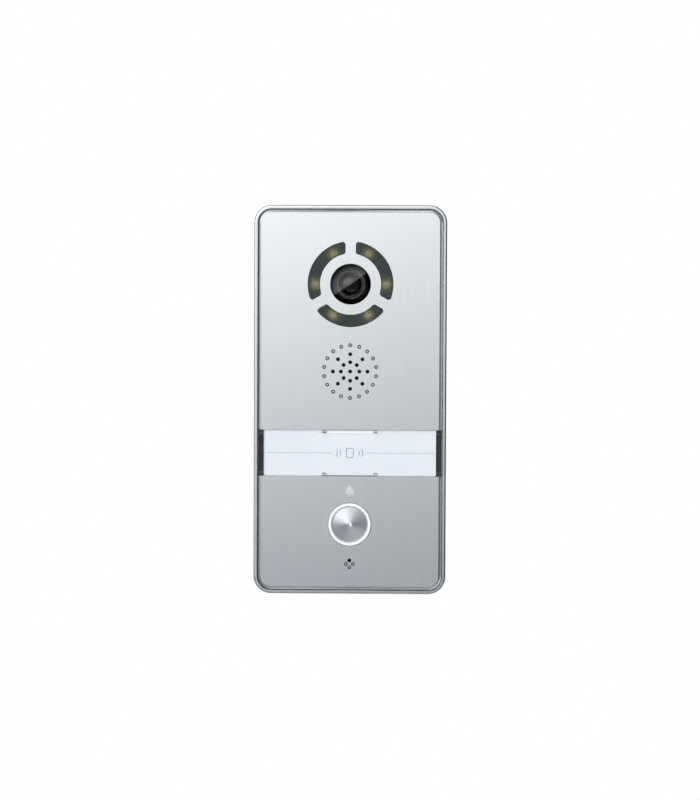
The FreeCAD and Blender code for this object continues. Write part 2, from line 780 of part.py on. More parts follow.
def past_inner_wall(edge):
    """How far the middle of an edge lies outside the frame's inner outline."""
    middle = edge.valueAt((edge.FirstParameter + edge.LastParameter) / 2)
    corner = value(INSIDE_CORNER)
    over_x = max(abs(middle.x) - value(INSIDE_WIDTH) / 2 + corner, 0)
    over_z = max(abs(middle.z) - value(INSIDE_HEIGHT) / 2 + corner, 0)
    return math.hypot(over_x, over_z) - corner


def front_frame():
    """Die-cast aluminium ring: the rim in front, and two inner shelves for the carrier and the cover."""
    body = new_body("front_frame")
    shell = rounded_rectangle("dim.station_width", "dim.station_height", "dim.corner_radius")
    wall = pad(body, [shell, inside()], "dim.frame_off_wall", "dim.station_depth")
    front = "dim.station_depth"
    outer = edges_at(wall, front, lambda edge: past_inner_wall(edge) > 0.5 * value("dim.rim_width"))
    rounded = dress(body, "Fillet", wall, outer, Radius="dim.rim_round")
    inner = edges_at(rounded, front, lambda edge: past_inner_wall(edge) < 0.1 * value("dim.rim_width"))
    dress(body, "Chamfer", rounded, inner, Size="dim.rim_inner_break")
    sink = "dim.rim_width / 2"
    flange = [inside(f"-{sink}"), inside("dim.flange_width")]
    pad(body, flange, f"{DECK_BACK} - dim.flange_thickness", DECK_BACK)
    ledge = [inside(f"-{sink}"), inside("dim.ledge_width")]
    pad(body, ledge, LEDGE_BACK, LEDGE_FRONT)
    bosses = [circle("dim.cover_boss_radius", x, z) for x, z in COVER_SCREWS]
    pad(body, bosses, LEDGE_BACK, f"{LEDGE_BACK} + dim.cover_boss_height")
    threads = [circle("dim.thread_radius", x, z) for x, z in COVER_SCREWS]
    cut(body, threads, LEDGE_BACK, f"{LEDGE_BACK} + dim.cover_boss_height")
    clearance = "dim.small_thread_radius + dim.screw_clearance"
    holes = [circle(clearance, x, z) for x, z in CARRIER_SCREWS]
    cut(body, holes, f"{DECK_BACK} - dim.flange_thickness", DECK_BACK)
    foot = f"(-{INSIDE_HEIGHT} / 2)"
    root = "dim.lock_block_root"
    block_z = f"{foot} + (dim.lock_block_height - {root}) / 2"
    block = rectangle("dim.lock_block_width", f"dim.lock_block_height + {root}", z=block_z)
    pad(body, [block], "dim.frame_off_wall", f"{COVER_BACK} - dim.cover_gap")
    clearance = "dim.thread_radius + dim.screw_clearance"
    bore_up(body, clearance, "-dim.station_height / 2", "dim.rim_width + dim.lock_block_height")
    bore_up(body, "dim.screw_head_radius + dim.screw_clearance", "-dim.station_height / 2", LOCK_HEAD_DEPTH)


def bore_up(body, radius, start, depth):
    """Drills a round hole straight up, on the lock screw's axis."""
    volume = body.Shape.Volume
    feature = body.newObject("PartDesign::Pocket", f"{body.Name}_bore")
    feature.Profile = sketch_on(body, [circle(radius, z="-dim.lock_screw_out")], start, plane="XY_Plane")
    feature.Reversed = True
    feature.setExpression("Length", depth)
    document.recompute()
    if body.Shape.Volume > volume - 1e-6:
        raise RuntimeError(f"{feature.Name} cuts nothing")


def end_slots(width_cut="0"):
    """The dark slots between the name panel's ends and the rim, as two rectangles."""
    deck_edge = f"({INSIDE_WIDTH} / 2 - dim.deck_gap)"
    panel_end = f"({PANEL_WIDTH} / 2 - dim.end_slot_under)"
    width = f"({deck_edge} - {panel_end} - ({width_cut}))"
    centre = f"({deck_edge} + {panel_end}) / 2"
    return [
        rectangle(width, "dim.panel_height - dim.end_slot_short", x=f"{side}{centre}", z=PANEL_Z)
        for side in ("-", "")
    ]


def panel_legs(extra="0"):
    """The clear panel's four snap legs, at the ends of its two notches."""
    x = "(dim.notch_length / 2 - dim.leg_width / 2)"
    z = "(dim.panel_height / 2 - dim.notch_depth / 2)"
    across = f"dim.leg_width + 2 * ({extra})"
    up = f"dim.notch_depth - dim.leg_edge_gap + 2 * ({extra})"
    return [
        rectangle(across, up, x=f"{a}{x}", z=f"{PANEL_Z} {b} {z}")
        for a in ("-", "")
        for b in ("-", "+")
    ]


def front_carrier():
    """Black ABS deck that every module fastens to, glued behind the face plates."""
    body = new_body("front_carrier")
    pad(body, [inside("dim.deck_gap")], DECK_BACK, PLATE_BACK)
    seal_back = f"({PLATE_FRONT} - dim.eye_recess - dim.eye_thickness - dim.eye_seal_thickness)"
    cut(body, [circle("dim.eye_radius + 0.1", z=LENS_Z)], seal_back, PLATE_BACK)
    cut(body, [circle("dim.eye_radius - dim.eye_seal_width", z=LENS_Z)], DECK_BACK, PLATE_BACK)
    window = arc_window("dim.arc_inner", "dim.arc_outer", "dim.arc_bridge", "dim.arc_corner")
    arc = cut(body, [window], DECK_BACK, PLATE_BACK, z=LENS_Z, turn=30)
    repeat_round(body, arc, 3)
    mesh_seat = [circle("dim.mesh_radius + dim.fit_gap", z=SPEAKER_Z)]
    cut(body, mesh_seat, f"{PLATE_BACK} - dim.mesh_thickness", PLATE_BACK)
    cut(body, [circle("dim.throat_radius", z=SPEAKER_Z)], DECK_BACK, PLATE_BACK)
    gap = "dim.panel_gap"
    pocket = rectangle(f"{PANEL_WIDTH} + 2 * {gap}", f"dim.panel_height + 2 * {gap}", z=PANEL_Z)
    cut(body, [pocket], CARD_BACK, PLATE_BACK)
    guide_hole = rectangle(f"{GUIDE_WIDTH} + 2 * {gap}", f"{GUIDE_HEIGHT} + 2 * {gap}", z=PANEL_Z)
    cut(body, [guide_hole], DECK_BACK, PLATE_BACK)
    cut(body, end_slots(), f"{PLATE_BACK} - dim.end_slot_depth", PLATE_BACK)
    rib_x = f"({PANEL_WIDTH} / 2 + dim.panel_end_gap / 2)"
    ribs = [
        rectangle("dim.end_rib_width", "dim.panel_height - dim.end_rib_short", x=f"{side}{rib_x}", z=PANEL_Z)
        for side in ("-", "")
    ]
    rib_foot = f"{PLATE_BACK} - dim.end_slot_depth - dim.end_rib_root"
    pad(body, ribs, rib_foot, f"{PLATE_BACK} - dim.end_rib_drop")
    cut(body, panel_legs("dim.leg_gap"), DECK_BACK, PLATE_BACK)
    cut(body, [circle("dim.light_ring_outer + dim.fit_gap", z=BUTTON_Z)], DECK_BACK, PLATE_BACK)
    cut(body, [circle("dim.microphone_hole_radius + 0.4", z=MICROPHONE_Z)], DECK_BACK, PLATE_BACK)
    pad(body, [circle("dim.post_radius", x, z) for x, z in BOARD_SCREWS], BOARD_FRONT, f"{DECK_BACK} + 0.5")
    cores = [circle("dim.small_thread_radius", x, z) for x, z in BOARD_SCREWS]
    cut(body, cores, BOARD_FRONT, f"{BOARD_FRONT} + dim.screw_bite")
    cores = [circle("dim.small_thread_radius", x, z) for x, z in CARRIER_SCREWS]
    cut(body, cores, DECK_BACK, f"{DECK_BACK} + dim.small_screw_bite")
    posts = [circle("dim.lamp_post_radius", x, z) for x, z in LAMP_BOARD_SCREWS]
    pad(body, posts, LAMP_BOARD_FRONT, f"{DECK_BACK} + 0.5")
    cores = [circle("dim.small_thread_radius", x, z) for x, z in LAMP_BOARD_SCREWS]
    cut(body, cores, LAMP_BOARD_FRONT, f"{LAMP_BOARD_FRONT} + dim.small_screw_bite")
    return body


def face_plate(name, keep_above):
    """A brushed plate: a bevelled sheet as large as the frame's inside, cut off at the name panel."""
    body = new_body(name)
    sheet_metal = pad(body, [inside("dim.plate_gap")], PLATE_BACK, PLATE_FRONT)
    edges = edges_at(sheet_metal, PLATE_FRONT, lambda edge: True)
    dress(body, "Chamfer", sheet_metal, edges, Size="dim.bevel_depth", Size2="dim.bevel_width")
    side = "+" if keep_above else "-"
    edge = f"({PANEL_Z} {side} (dim.panel_height / 2 + dim.panel_gap))"
    depth = "dim.station_height"
    other = "-" if keep_above else "+"
    cut(
        body,
        [rectangle("dim.station_width", depth, z=f"{edge} {other} {depth} / 2")],
        f"{PLATE_BACK} - 1",
        f"{PLATE_FRONT} + 1",
    )
    return body


def break_edges(body, feature, radius, z):
    """Breaks the sharp front edges of a plate's holes, out to a radius round a place on the middle line."""

    def near(edge):
        middle = edge.valueAt((edge.FirstParameter + edge.LastParameter) / 2)
        return math.hypot(middle.x, middle.z - value(z)) < value(radius) + value("dim.edge_break")

    dress(body, "Chamfer", feature, edges_at(feature, PLATE_FRONT, near), Size="dim.edge_break")


def dimple(body, mouth, x, z):
    """Turns a blind coned dimple at (x, z), from a mouth's radius down to its small flat floor."""
    front, floor = f"-{PLATE_FRONT}", f"-{PLATE_FRONT} + dim.dimple_depth"
    outline = polygon([(front, "0"), (floor, "0"), (floor, "dim.dimple_floor_radius"), (front, mouth)])
    groove = body.newObject("PartDesign::Groove", f"{body.Name}_dimple")
    groove.Profile = sketch_on(body, [outline], x, z=z, plane="YZ_Plane")
    groove.ReferenceAxis = (groove.Profile[0], ["H_Axis"])
    document.recompute()
    return groove


def upper_face_plate():
    """Upper plate, with the openings for the camera, its lights and the speaker."""
    body = face_plate("upper_face_plate", keep_above=True)
    cut(body, [circle("dim.eye_radius", z=LENS_Z)], PLATE_BACK, PLATE_FRONT)
    window = arc_window("dim.arc_inner", "dim.arc_outer", "dim.arc_bridge", "dim.arc_corner")
    arc = cut(body, [window], PLATE_BACK, PLATE_FRONT, z=LENS_Z, turn=30)
    arcs = repeat_round(body, arc, 3)
    break_edges(body, arcs, "dim.arc_outer", LENS_Z)
    hole = "dim.sound_hole_radius"
    cut(body, [circle(hole, z=SPEAKER_Z)], PLATE_BACK, PLATE_FRONT)
    for ring in ("dim.sound_ring_1", "dim.sound_ring_2"):
        first = cut(body, [circle(hole, z=ring)], PLATE_BACK, PLATE_FRONT, z=SPEAKER_Z)
        repeat_round(body, first, 8)
    first_dimple = dimple(body, hole, "0", f"{SPEAKER_Z} + dim.sound_ring_3")
    repeat_round(body, first_dimple, 18, about=first)
    return body


def lower_face_plate():
    """Lower plate, with the button's seat and the microphone's hole."""
    body = face_plate("lower_face_plate", keep_above=False)
    mouth = "dim.light_ring_outer + dim.fit_gap"
    seat = cut(body, [circle(mouth, z=BUTTON_Z)], PLATE_BACK, PLATE_FRONT)
    break_edges(body, seat, mouth, BUTTON_Z)
    hole = "dim.microphone_hole_radius"
    cut(body, [circle(hole, z=MICROPHONE_Z)], PLATE_BACK, PLATE_FRONT)
    step = "dim.microphone_pitch"
    below = [(f"-{step}", f"-{step}"), (step, f"-{step}"), ("0", f"-2 * {step}")]
    for x, z in below:
        dimple(body, hole, x, f"{MICROPHONE_Z} {z}")
    return body


# ---- Camera and its lights ------------------------------------------------------------------------------


def camera_window():
    """Clear polycarbonate disc over the lens."""
    body = new_body("camera_window")
    disc = pad(body, [circle("dim.eye_radius - dim.fit_gap", z=LENS_Z)], EYE_BACK, EYE_FRONT)
    dress(body, "Chamfer", disc, edges_at(disc, EYE_FRONT, lambda edge: True), Size="0.2")


def camera_window_seal():
    """Thin rubber ring behind the window."""
    body = new_body("camera_window_seal")
    figures = [circle("dim.eye_radius", z=LENS_Z), circle("dim.eye_radius - dim.eye_seal_width", z=LENS_Z)]
    pad(body, figures, f"{EYE_BACK} - dim.eye_seal_thickness", EYE_BACK)


def camera_light_window():
    """Smoked polycarbonate ring whose three raised arcs fill the slots round the lens."""
    body = new_body("camera_light_window")
    base = [
        circle("dim.arc_outer + dim.arc_lens_rim", z=LENS_Z),
        circle("dim.arc_inner - dim.arc_lens_rim", z=LENS_Z),
    ]
    pad(body, base, f"{DECK_BACK} - dim.arc_lens_base", DECK_BACK)
    gap = "dim.fit_gap"
    arc = arc_window(
        f"dim.arc_inner + {gap}",
        f"dim.arc_outer - {gap}",
        f"dim.arc_bridge + 2 * {gap}",
        f"dim.arc_corner - {gap}",
    )
    raised = pad(body, [arc], DECK_BACK, f"{PLATE_FRONT} - dim.arc_lens_recess", z=LENS_Z, turn=30)
    repeat_round(body, raised, 3)


def camera_light_board():
    """Ring-shaped board under the three arcs."""
    body = new_body("camera_light_board")
    figures = [circle("dim.lamp_board_outer", z=LENS_Z), circle("dim.lamp_board_inner", z=LENS_Z)]
    figures += [circle("dim.small_thread_radius + dim.screw_clearance", x, z) for x, z in LAMP_BOARD_SCREWS]
    pad(body, figures, LAMP_BOARD_BACK, LAMP_BOARD_FRONT)


def camera_lights():
    """Six white light-emitting diodes, two behind each arc."""
    body = new_body("camera_lights")
    lamp = rectangle("dim.lamp_side", "dim.lamp_length", x="dim.lamp_ring")
    first = pad(body, [lamp], LAMP_BOARD_FRONT, LAMP_FRONT, z=LENS_Z)
    repeat_round(body, first, 6)


def light_sensors():
    """Two photocells that switch the lights on at dusk, behind the middle of the two upper arcs."""
    body = new_body("light_sensors")
    x = "dim.lamp_ring * cos(30)"
    z = f"{LENS_Z} + dim.lamp_ring * sin(30)"
    figures = [circle("dim.photocell_radius", x=f"{side}{x}", z=z) for side in ("-", "")]
    pad(body, figures, LAMP_BOARD_FRONT, LAMP_FRONT)


def lens_barrel():
    """Black anodised barrel: a wide head with a coned mouth on a threaded neck."""
    body = new_body("lens_barrel")
    head = [circle("dim.barrel_radius", z=LENS_Z), circle("dim.barrel_mouth_radius", z=LENS_Z)]
    head_pad = pad(body, head, BARREL_SHOULDER, BARREL_FRONT)
    limit = value("(dim.barrel_radius + dim.barrel_mouth_radius) / 2")
    rims = edges_at(head_pad, BARREL_FRONT, lambda edge: edge.Curve.Radius > limit)
    outside = dress(body, "Chamfer", head_pad, rims, Size="0.4")
    mouth = edges_at(outside, BARREL_FRONT, lambda edge: edge.Curve.Radius < limit)
    dress(body, "Chamfer", outside, mouth, Size="dim.barrel_mouth_cone")
    neck = [circle(NECK_RADIUS, z=LENS_Z), circle("dim.rear_lens_radius + dim.lens_fit", z=LENS_Z)]
    pad(body, neck, f"{CAMERA_BOARD_FRONT} + dim.sensor_thickness + 0.4", BARREL_SHOULDER)


def lens(name, radius, front, thickness):
    """A plano-convex glass: a rod cut off by a ball, with its curved side towards the visitor."""
    sizes = {"Radius": radius, "Height": thickness}
    rod = primitive("Cylinder", f"{name}_rod", sizes, z=LENS_Z, out=f"{front} - {thickness}")
    curve = {"Radius": "dim.lens_curve"}
    ball = primitive("Sphere", f"{name}_ball", curve, z=LENS_Z, out=f"{front} - dim.lens_curve")
    return boolean("Common", name, rod, ball)


def front_lens():
    """Lens in the mouth of the barrel."""
    radius = "dim.barrel_mouth_radius - dim.lens_fit"
    return lens("front_lens", radius, f"{BARREL_FRONT} - dim.front_lens_sink", "dim.front_lens_thickness")


def rear_lens():
    """Smaller lens behind the iris."""
    front = f"{BARREL_SHOULDER} - dim.rear_lens_sink"
    return lens("rear_lens", "dim.rear_lens_radius", front, "dim.rear_lens_thickness")


def iris():
    """Thin blackened disc with a round opening, between the lenses."""
    body = new_body("iris")
    front = f"{BARREL_SHOULDER} + dim.iris_thickness"
    outer = "dim.barrel_mouth_radius - dim.lens_fit"
    figures = [circle(outer, z=LENS_Z), circle("dim.iris_radius", z=LENS_Z)]
    pad(body, figures, BARREL_SHOULDER, front)


def lens_holder():
    """Threaded block that holds the barrel over the sensor."""
    body = new_body("lens_holder")
    block = rectangle("dim.holder_side", "dim.holder_side", z=LENS_Z)
    pad(body, [block, circle(f"{NECK_RADIUS} + 0.05", z=LENS_Z)], CAMERA_BOARD_FRONT, HOLDER_FRONT)


def image_sensor():
    """Image sensor, on the camera board."""
    body = new_body("image_sensor")
    chip = rectangle("dim.sensor_side", "dim.sensor_side", z=LENS_Z)
    pad(body, [chip], CAMERA_BOARD_FRONT, f"{CAMERA_BOARD_FRONT} + dim.sensor_thickness")


def camera_board():
    """Square board of the camera."""
    body = new_body("camera_board")
    side = "dim.camera_board_side"
    clearance = "dim.small_thread_radius + dim.screw_clearance"
    figures = [rounded_rectangle(side, side, "dim.camera_board_corner", z=LENS_Z)]
    figures += [circle(clearance, x, z) for x, z in CAMERA_SCREWS]
    pad(body, figures, CAMERA_BOARD_BACK, CAMERA_BOARD_FRONT)


# ---- Speaker --------------------------------------------------------------------------------------------

SPEAKER_FRONT = f"({DECK_BACK} - dim.speaker_seal)"
SPEAKER_FLANGE_BACK = f"({SPEAKER_FRONT} - dim.speaker_flange_thickness)"
MAGNET_BACK = f"({BOARD_FRONT} + dim.magnet_off_board)"
MAGNET_FRONT = f"({MAGNET_BACK} + dim.magnet_thickness)"


def speaker_mesh():
    """Woven mesh disc that keeps rain and insects out of the speaker."""
    body = new_body("speaker_mesh")
    pad(body, [circle("dim.mesh_radius", z=SPEAKER_Z)], f"{PLATE_BACK} - dim.mesh_thickness", PLATE_BACK)


def speaker_seal():
    """Rubber ring between the speaker and the carrier."""
    body = new_body("speaker_seal")
    inner = "dim.speaker_radius - dim.speaker_flange"
    ring = [circle("dim.speaker_radius", z=SPEAKER_Z), circle(inner, z=SPEAKER_Z)]
    pad(body, ring, SPEAKER_FRONT, DECK_BACK)


def speaker_basket():
    """Steel basket: a flange, and a cup that narrows to the magnet."""
    body = new_body("speaker_basket")
    inner = "dim.speaker_radius - dim.speaker_flange"
    flange = [circle("dim.speaker_radius", z=SPEAKER_Z), circle(inner, z=SPEAKER_Z)]
    pad(body, flange, SPEAKER_FLANGE_BACK, SPEAKER_FRONT)
    wall = [circle(f"{inner} + dim.basket_wall", z=SPEAKER_Z), circle(inner, z=SPEAKER_Z)]
    pad(body, wall, MAGNET_FRONT, SPEAKER_FLANGE_BACK)
    floor = [circle(f"{inner} + dim.basket_wall", z=SPEAKER_Z), circle("dim.cone_throat", z=SPEAKER_Z)]
    pad(body, floor, MAGNET_FRONT, f"{MAGNET_FRONT} + dim.basket_wall")


def speaker_cone():
    """Thin cone, open towards the visitor, with a closed throat."""
    back = f"({MAGNET_FRONT} + dim.basket_wall + 0.6)"
    rim = "(dim.speaker_radius - dim.speaker_flange)"
    deep = f"({SPEAKER_FRONT} - 0.5 - {back})"
    shape = {"Radius1": "dim.cone_throat", "Radius2": rim, "Height": deep}
    outside = primitive("Cone", "cone_outside", shape, z=SPEAKER_Z, out=back)
    hollow = primitive("Cone", "cone_hollow", shape, z=SPEAKER_Z, out=f"{back} + dim.cone_thickness")
    return boolean("Cut", "speaker_cone", outside, hollow)


def speaker_magnet():
    """Ferrite magnet behind the basket."""
    body = new_body("speaker_magnet")
    magnet = pad(body, [circle("dim.magnet_radius", z=SPEAKER_Z)], MAGNET_BACK, MAGNET_FRONT)
    dress(body, "Chamfer", magnet, edges_at(magnet, MAGNET_BACK, lambda edge: True), Size="0.4")


# ---- Name panel -----------------------------------------------------------------------------------------



def name_panel():
    """Clear snap-in panel over the name card, notched at top and bottom so that a blade can lift it out."""
    body = new_body("name_panel")
    sheet_figure = rectangle(PANEL_WIDTH, "dim.panel_height", z=PANEL_Z)
    clear = pad(body, [sheet_figure], PANEL_BACK, PANEL_FRONT)
    dress(body, "Chamfer", clear, edges_at(clear, PANEL_FRONT, lambda edge: True), Size="0.25")
    z = "(dim.panel_height / 2 - dim.notch_depth / 2)"
    places = [f"{PANEL_Z} {side} {z}" for side in ("-", "+")]
    notches = [rectangle("dim.notch_length", "dim.notch_depth", z=place) for place in places]
    cut(body, notches, PANEL_BACK, PANEL_FRONT)
    leg_front = f"{PANEL_FRONT} - dim.leg_drop"
    pad(body, panel_legs(), f"{PANEL_BACK} - dim.leg_reach", leg_front)
    web_x = "(dim.notch_length / 2 - dim.leg_width / 2)"
    web_z = "(dim.panel_height / 2 - dim.notch_depth)"
    webs = [
        rectangle("dim.leg_width", "dim.web_thickness", x=f"{a}{web_x}", z=f"{PANEL_Z} {b} {web_z}")
        for a in ("-", "")
        for b in ("-", "+")
    ]
    pad(body, webs, PANEL_BACK, leg_front)
    ear_length = "dim.ear_length + dim.ear_root"
    ear_x = f"({PANEL_WIDTH} / 2 + dim.ear_length / 2 - dim.ear_root / 2)"
    ear_z = "(dim.panel_height / 2 - dim.ear_from_edge - dim.ear_height / 2)"
    ears = [
        rectangle(ear_length, "dim.ear_height", x=f"{a}{ear_x}", z=f"{PANEL_Z} {b} {ear_z}")
        for a in ("-", "")
        for b in ("-", "+")
    ]
    pad(body, ears, PANEL_BACK, f"{PANEL_BACK} + dim.ear_thickness")


def name_card():
    """Printed translucent card, with holes for the panel's legs."""
    body = new_body("name_card")
    margin = "2 * dim.card_margin"
    card = rectangle(f"{PANEL_WIDTH} - {margin}", f"dim.panel_height - {margin}", z=PANEL_Z)
    pad(body, [card], CARD_BACK, f"{CARD_BACK} + dim.card_thickness")
    cut(body, panel_legs("dim.leg_gap"), CARD_BACK, f"{CARD_BACK} + dim.card_thickness")


def light_guide():
    """White acrylic plate that spreads the backlight behind the card."""
    body = new_body("light_guide")
    pad(body, [rectangle(GUIDE_WIDTH, GUIDE_HEIGHT, z=PANEL_Z)], GUIDE_BACK, CARD_BACK)


def reader_board():
    """Board behind the light guide: backlight at its ends, card reader's aerial on its back."""
    body = new_body("reader_board")
    pad(body, [rectangle(GUIDE_WIDTH, GUIDE_HEIGHT, z=PANEL_Z)], ANTENNA_BACK, ANTENNA_FRONT)


def reader_coil():
    """Copper track of the reader's aerial, as three closed turns."""
    body = new_body("reader_coil")
    figures = []
    for turn in range(3):
        for edge in (f"{turn} * dim.coil_pitch", f"{turn} * dim.coil_pitch + dim.coil_track"):
            shrink = f"2 * (1 + {edge})"
            figures.append(rectangle(f"{GUIDE_WIDTH} - {shrink}", f"{GUIDE_HEIGHT} - {shrink}", z=PANEL_Z))
    pad(body, figures, f"{ANTENNA_BACK} - dim.coil_thickness", ANTENNA_BACK)


def backlights():
    """Six side-view diodes, three at each end of the light guide."""
    body = new_body("backlights")
    x = f"({GUIDE_WIDTH} / 2 - 2.5)"
    figures = [
        rectangle("1.6", "3.2", x=f"{side}{x}", z=f"{PANEL_Z} + {row} * dim.panel_height / 3.5")
        for side in ("-", "")
        for row in ("(-1)", "0", "1")
    ]
    pad(body, figures, ANTENNA_FRONT, f"{ANTENNA_FRONT} + dim.antenna_gap - 0.1")


# ---- Call button ----------------------------------------------------------------------------------------

RING_FRONT = f"({PLATE_FRONT} + dim.light_ring_proud)"
CAP_EDGE = f"({RING_FRONT} - dim.cap_below_ring)"
CAP_BACK = f"({CAP_EDGE} - dim.cap_height)"
SWITCH_FRONT = f"({BOARD_FRONT} + dim.switch_height)"
STEM_END = f"({SWITCH_FRONT} + dim.plunger_reach)"
RING_SEAL_BACK = f"({DECK_BACK} - dim.ring_seal_thickness)"
GUIDE_SEAT = f"({BOARD_FRONT} + dim.guide_base)"
SKIRT_RADIUS = "(dim.cap_radius + dim.cap_collar)"


def button_cap():
    """Turned aluminium cap: a shallow cone in front, a collar that retains it and a stem to the switch."""
    body = new_body("button_cap")
    pad(body, [circle("dim.cap_radius", z=BUTTON_Z)], CAP_BACK, CAP_EDGE)
    edge = f"-{CAP_EDGE}"
    cone = polygon([(edge, "0"), (edge, "dim.cap_radius"), (f"{edge} - dim.cap_cone", "0")])
    front = body.newObject("PartDesign::Revolution", "button_cap_cone")
    front.Profile = sketch_on(body, [cone], "0", z=BUTTON_Z, plane="YZ_Plane")
    front.ReferenceAxis = (front.Profile[0], ["H_Axis"])
    document.recompute()
    rim = edges_at(front, CAP_EDGE, lambda edge: True)
    dress(body, "Fillet", front, rim, Radius="dim.cap_round")
    collar = circle(SKIRT_RADIUS, z=BUTTON_Z)
    pad(body, [collar], CAP_BACK, f"{CAP_BACK} + dim.cap_collar_height")
    pad(body, [circle("dim.stem_radius", z=BUTTON_Z)], STEM_END, CAP_BACK)


def button_light_ring():
    """Translucent ring round the cap; its tube carries light from the board."""
    body = new_body("button_light_ring")
    step = f"({CAP_BACK} + dim.cap_collar_height + dim.fit_gap)"
    outer = circle("dim.light_ring_outer", z=BUTTON_Z)
    mouth = [outer, circle("dim.cap_radius + dim.slide_gap", z=BUTTON_Z)]
    lip = pad(body, mouth, step, RING_FRONT)
    dress(body, "Fillet", lip, edges_at(lip, RING_FRONT, lambda edge: True), Radius="dim.light_ring_round")
    tube = [outer, circle(f"{SKIRT_RADIUS} + dim.slide_gap", z=BUTTON_Z)]
    pad(body, tube, f"{BOARD_FRONT} + dim.ring_off_board", step)
    flange_front = RING_SEAL_BACK
    flange = [
        circle("dim.light_ring_outer + dim.ring_flange", z=BUTTON_Z),
        circle(f"{SKIRT_RADIUS} + dim.slide_gap", z=BUTTON_Z),
    ]
    pad(body, flange, f"{flange_front} - dim.ring_flange_thickness", flange_front)


def button_seal():
    """Flat rubber ring between the light ring's flange and the carrier."""
    body = new_body("button_seal")
    outer = circle("dim.light_ring_outer + dim.ring_flange", z=BUTTON_Z)
    inner = circle("dim.light_ring_outer + dim.seal_fit", z=BUTTON_Z)
    pad(body, [outer, inner], RING_SEAL_BACK, DECK_BACK)


def button_guide():
    """Black acetal bush on the board: it guides the stem and seats the spring."""
    body = new_body("button_guide")
    clearance = "dim.stem_radius + 0.1"
    base = [circle(f"{SKIRT_RADIUS} - dim.guide_inset", z=BUTTON_Z), circle(clearance, z=BUTTON_Z)]
    pad(body, base, BOARD_FRONT, GUIDE_SEAT)
    hub = [circle(f"dim.stem_radius + dim.guide_hub_wall", z=BUTTON_Z), circle(clearance, z=BUTTON_Z)]
    pad(body, hub, GUIDE_SEAT, f"{GUIDE_SEAT} + dim.guide_hub_height")
    room = rectangle("dim.switch_side + 0.4", "dim.switch_side + 0.4", z=BUTTON_Z)
    cut(body, [room], BOARD_FRONT, f"{SWITCH_FRONT} + 0.3")


def push_switch():
    """Small push switch on the main board."""
    body = new_body("push_switch")
    case = pad(body, [rectangle("dim.switch_side", "dim.switch_side", z=BUTTON_Z)], BOARD_FRONT, SWITCH_FRONT)
    bore = circle("dim.plunger_radius + 0.1", z=BUTTON_Z)
    cut(body, [bore], f"{BOARD_FRONT} + 0.3", SWITCH_FRONT)


def switch_plunger():
    """Plunger of the push switch, under the cap's stem."""
    body = new_body("switch_plunger")
    back = f"{BOARD_FRONT} + 0.4 + dim.button_travel"
    pad(body, [circle("dim.plunger_radius", z=BUTTON_Z)], back, STEM_END)


def ring_lights():
    """Four diodes on the board, under the light ring's tube."""
    body = new_body("ring_lights")
    lamp = rectangle("1.0", "1.8", x="dim.light_ring_outer - 0.5")
    first = pad(body, [lamp], BOARD_FRONT, f"{BOARD_FRONT} + 0.7", z=BUTTON_Z, turn=45)
    repeat_round(body, first, 4)


# ---- Microphone -----------------------------------------------------------------------------------------

CAPSULE_FRONT = f"({DECK_BACK} - dim.capsule_from_deck)"
CAPSULE_BACK = f"({CAPSULE_FRONT} - dim.capsule_height)"


def microphone_boot():
    """Rubber boot that seals the capsule to the hole in the deck."""
    body = new_body("microphone_boot")
    pad(body, [circle("dim.boot_radius", z=MICROPHONE_Z)], f"{BOARD_FRONT} + 0.2", DECK_BACK)
    cut(body, [circle("dim.capsule_radius", z=MICROPHONE_Z)], f"{BOARD_FRONT} + 0.2", CAPSULE_FRONT)
    cut(body, [circle("dim.microphone_hole_radius", z=MICROPHONE_Z)], CAPSULE_FRONT, DECK_BACK)


def microphone_capsule():
    """Electret capsule with its two leads."""
    body = new_body("microphone_capsule")
    pad(body, [circle("dim.capsule_radius", z=MICROPHONE_Z)], CAPSULE_BACK, CAPSULE_FRONT)
    pins = [circle("dim.lead_radius", x=f"{side}dim.lead_pitch / 2", z=MICROPHONE_Z) for side in ("-", "")]
    pad(body, pins, BOARD_FRONT, CAPSULE_BACK)


# ---- Main board -----------------------------------------------------------------------------------------


def main_board():
    """Board with all the connections, on the carrier's posts."""
    body = new_body("main_board")
    clearance = "dim.small_thread_radius + dim.screw_clearance"
    figures = [rounded_rectangle(BOARD_WIDTH, BOARD_HEIGHT, "dim.board_corner")]
    figures += [circle(clearance, x, z) for x, z in BOARD_SCREWS]
    figures += [circle("dim.small_thread_radius", x, z) for x, z in CAMERA_SCREWS]
    pad(body, figures, BOARD_BACK, BOARD_FRONT)


def processor_shield():
    """Tinned steel can over the processor, behind the reader board."""
    body = new_body("processor_shield")
    outline = rounded_rectangle("dim.shield_width", "dim.shield_height", "dim.shield_corner", z=PANEL_Z)
    top = f"{BOARD_FRONT} + dim.shield_thickness"
    can = pad(body, [outline], BOARD_FRONT, top)
    dress(body, "Chamfer", can, edges_at(can, top, lambda edge: True), Size="dim.shield_bend")


def circuit_chips():
    """Moulded packages on the front of the board: amplifier, memory, reader and power chips."""
    body = new_body("circuit_chips")
    # Width, height and place of each package
    packages = [
        ("8", "8", "-28", f"{PANEL_Z} + 3"),
        ("6", "5", "27", f"{PANEL_Z} - 4"),
        ("7", "7", "28", f"{PANEL_Z} + 6"),
        ("9", "6", "-26", f"{SPEAKER_Z} + 12"),
        ("5", "6", "27", f"{SPEAKER_Z} - 6"),
        ("7", "7", "-25", BUTTON_Z),
        ("5", "5", "24", f"{BUTTON_Z} + 8"),
    ]
    figures = [rectangle(width, height, x=x, z=z) for width, height, x, z in packages]
    pad(body, figures, BOARD_FRONT, f"{BOARD_FRONT} + dim.chip_thickness")


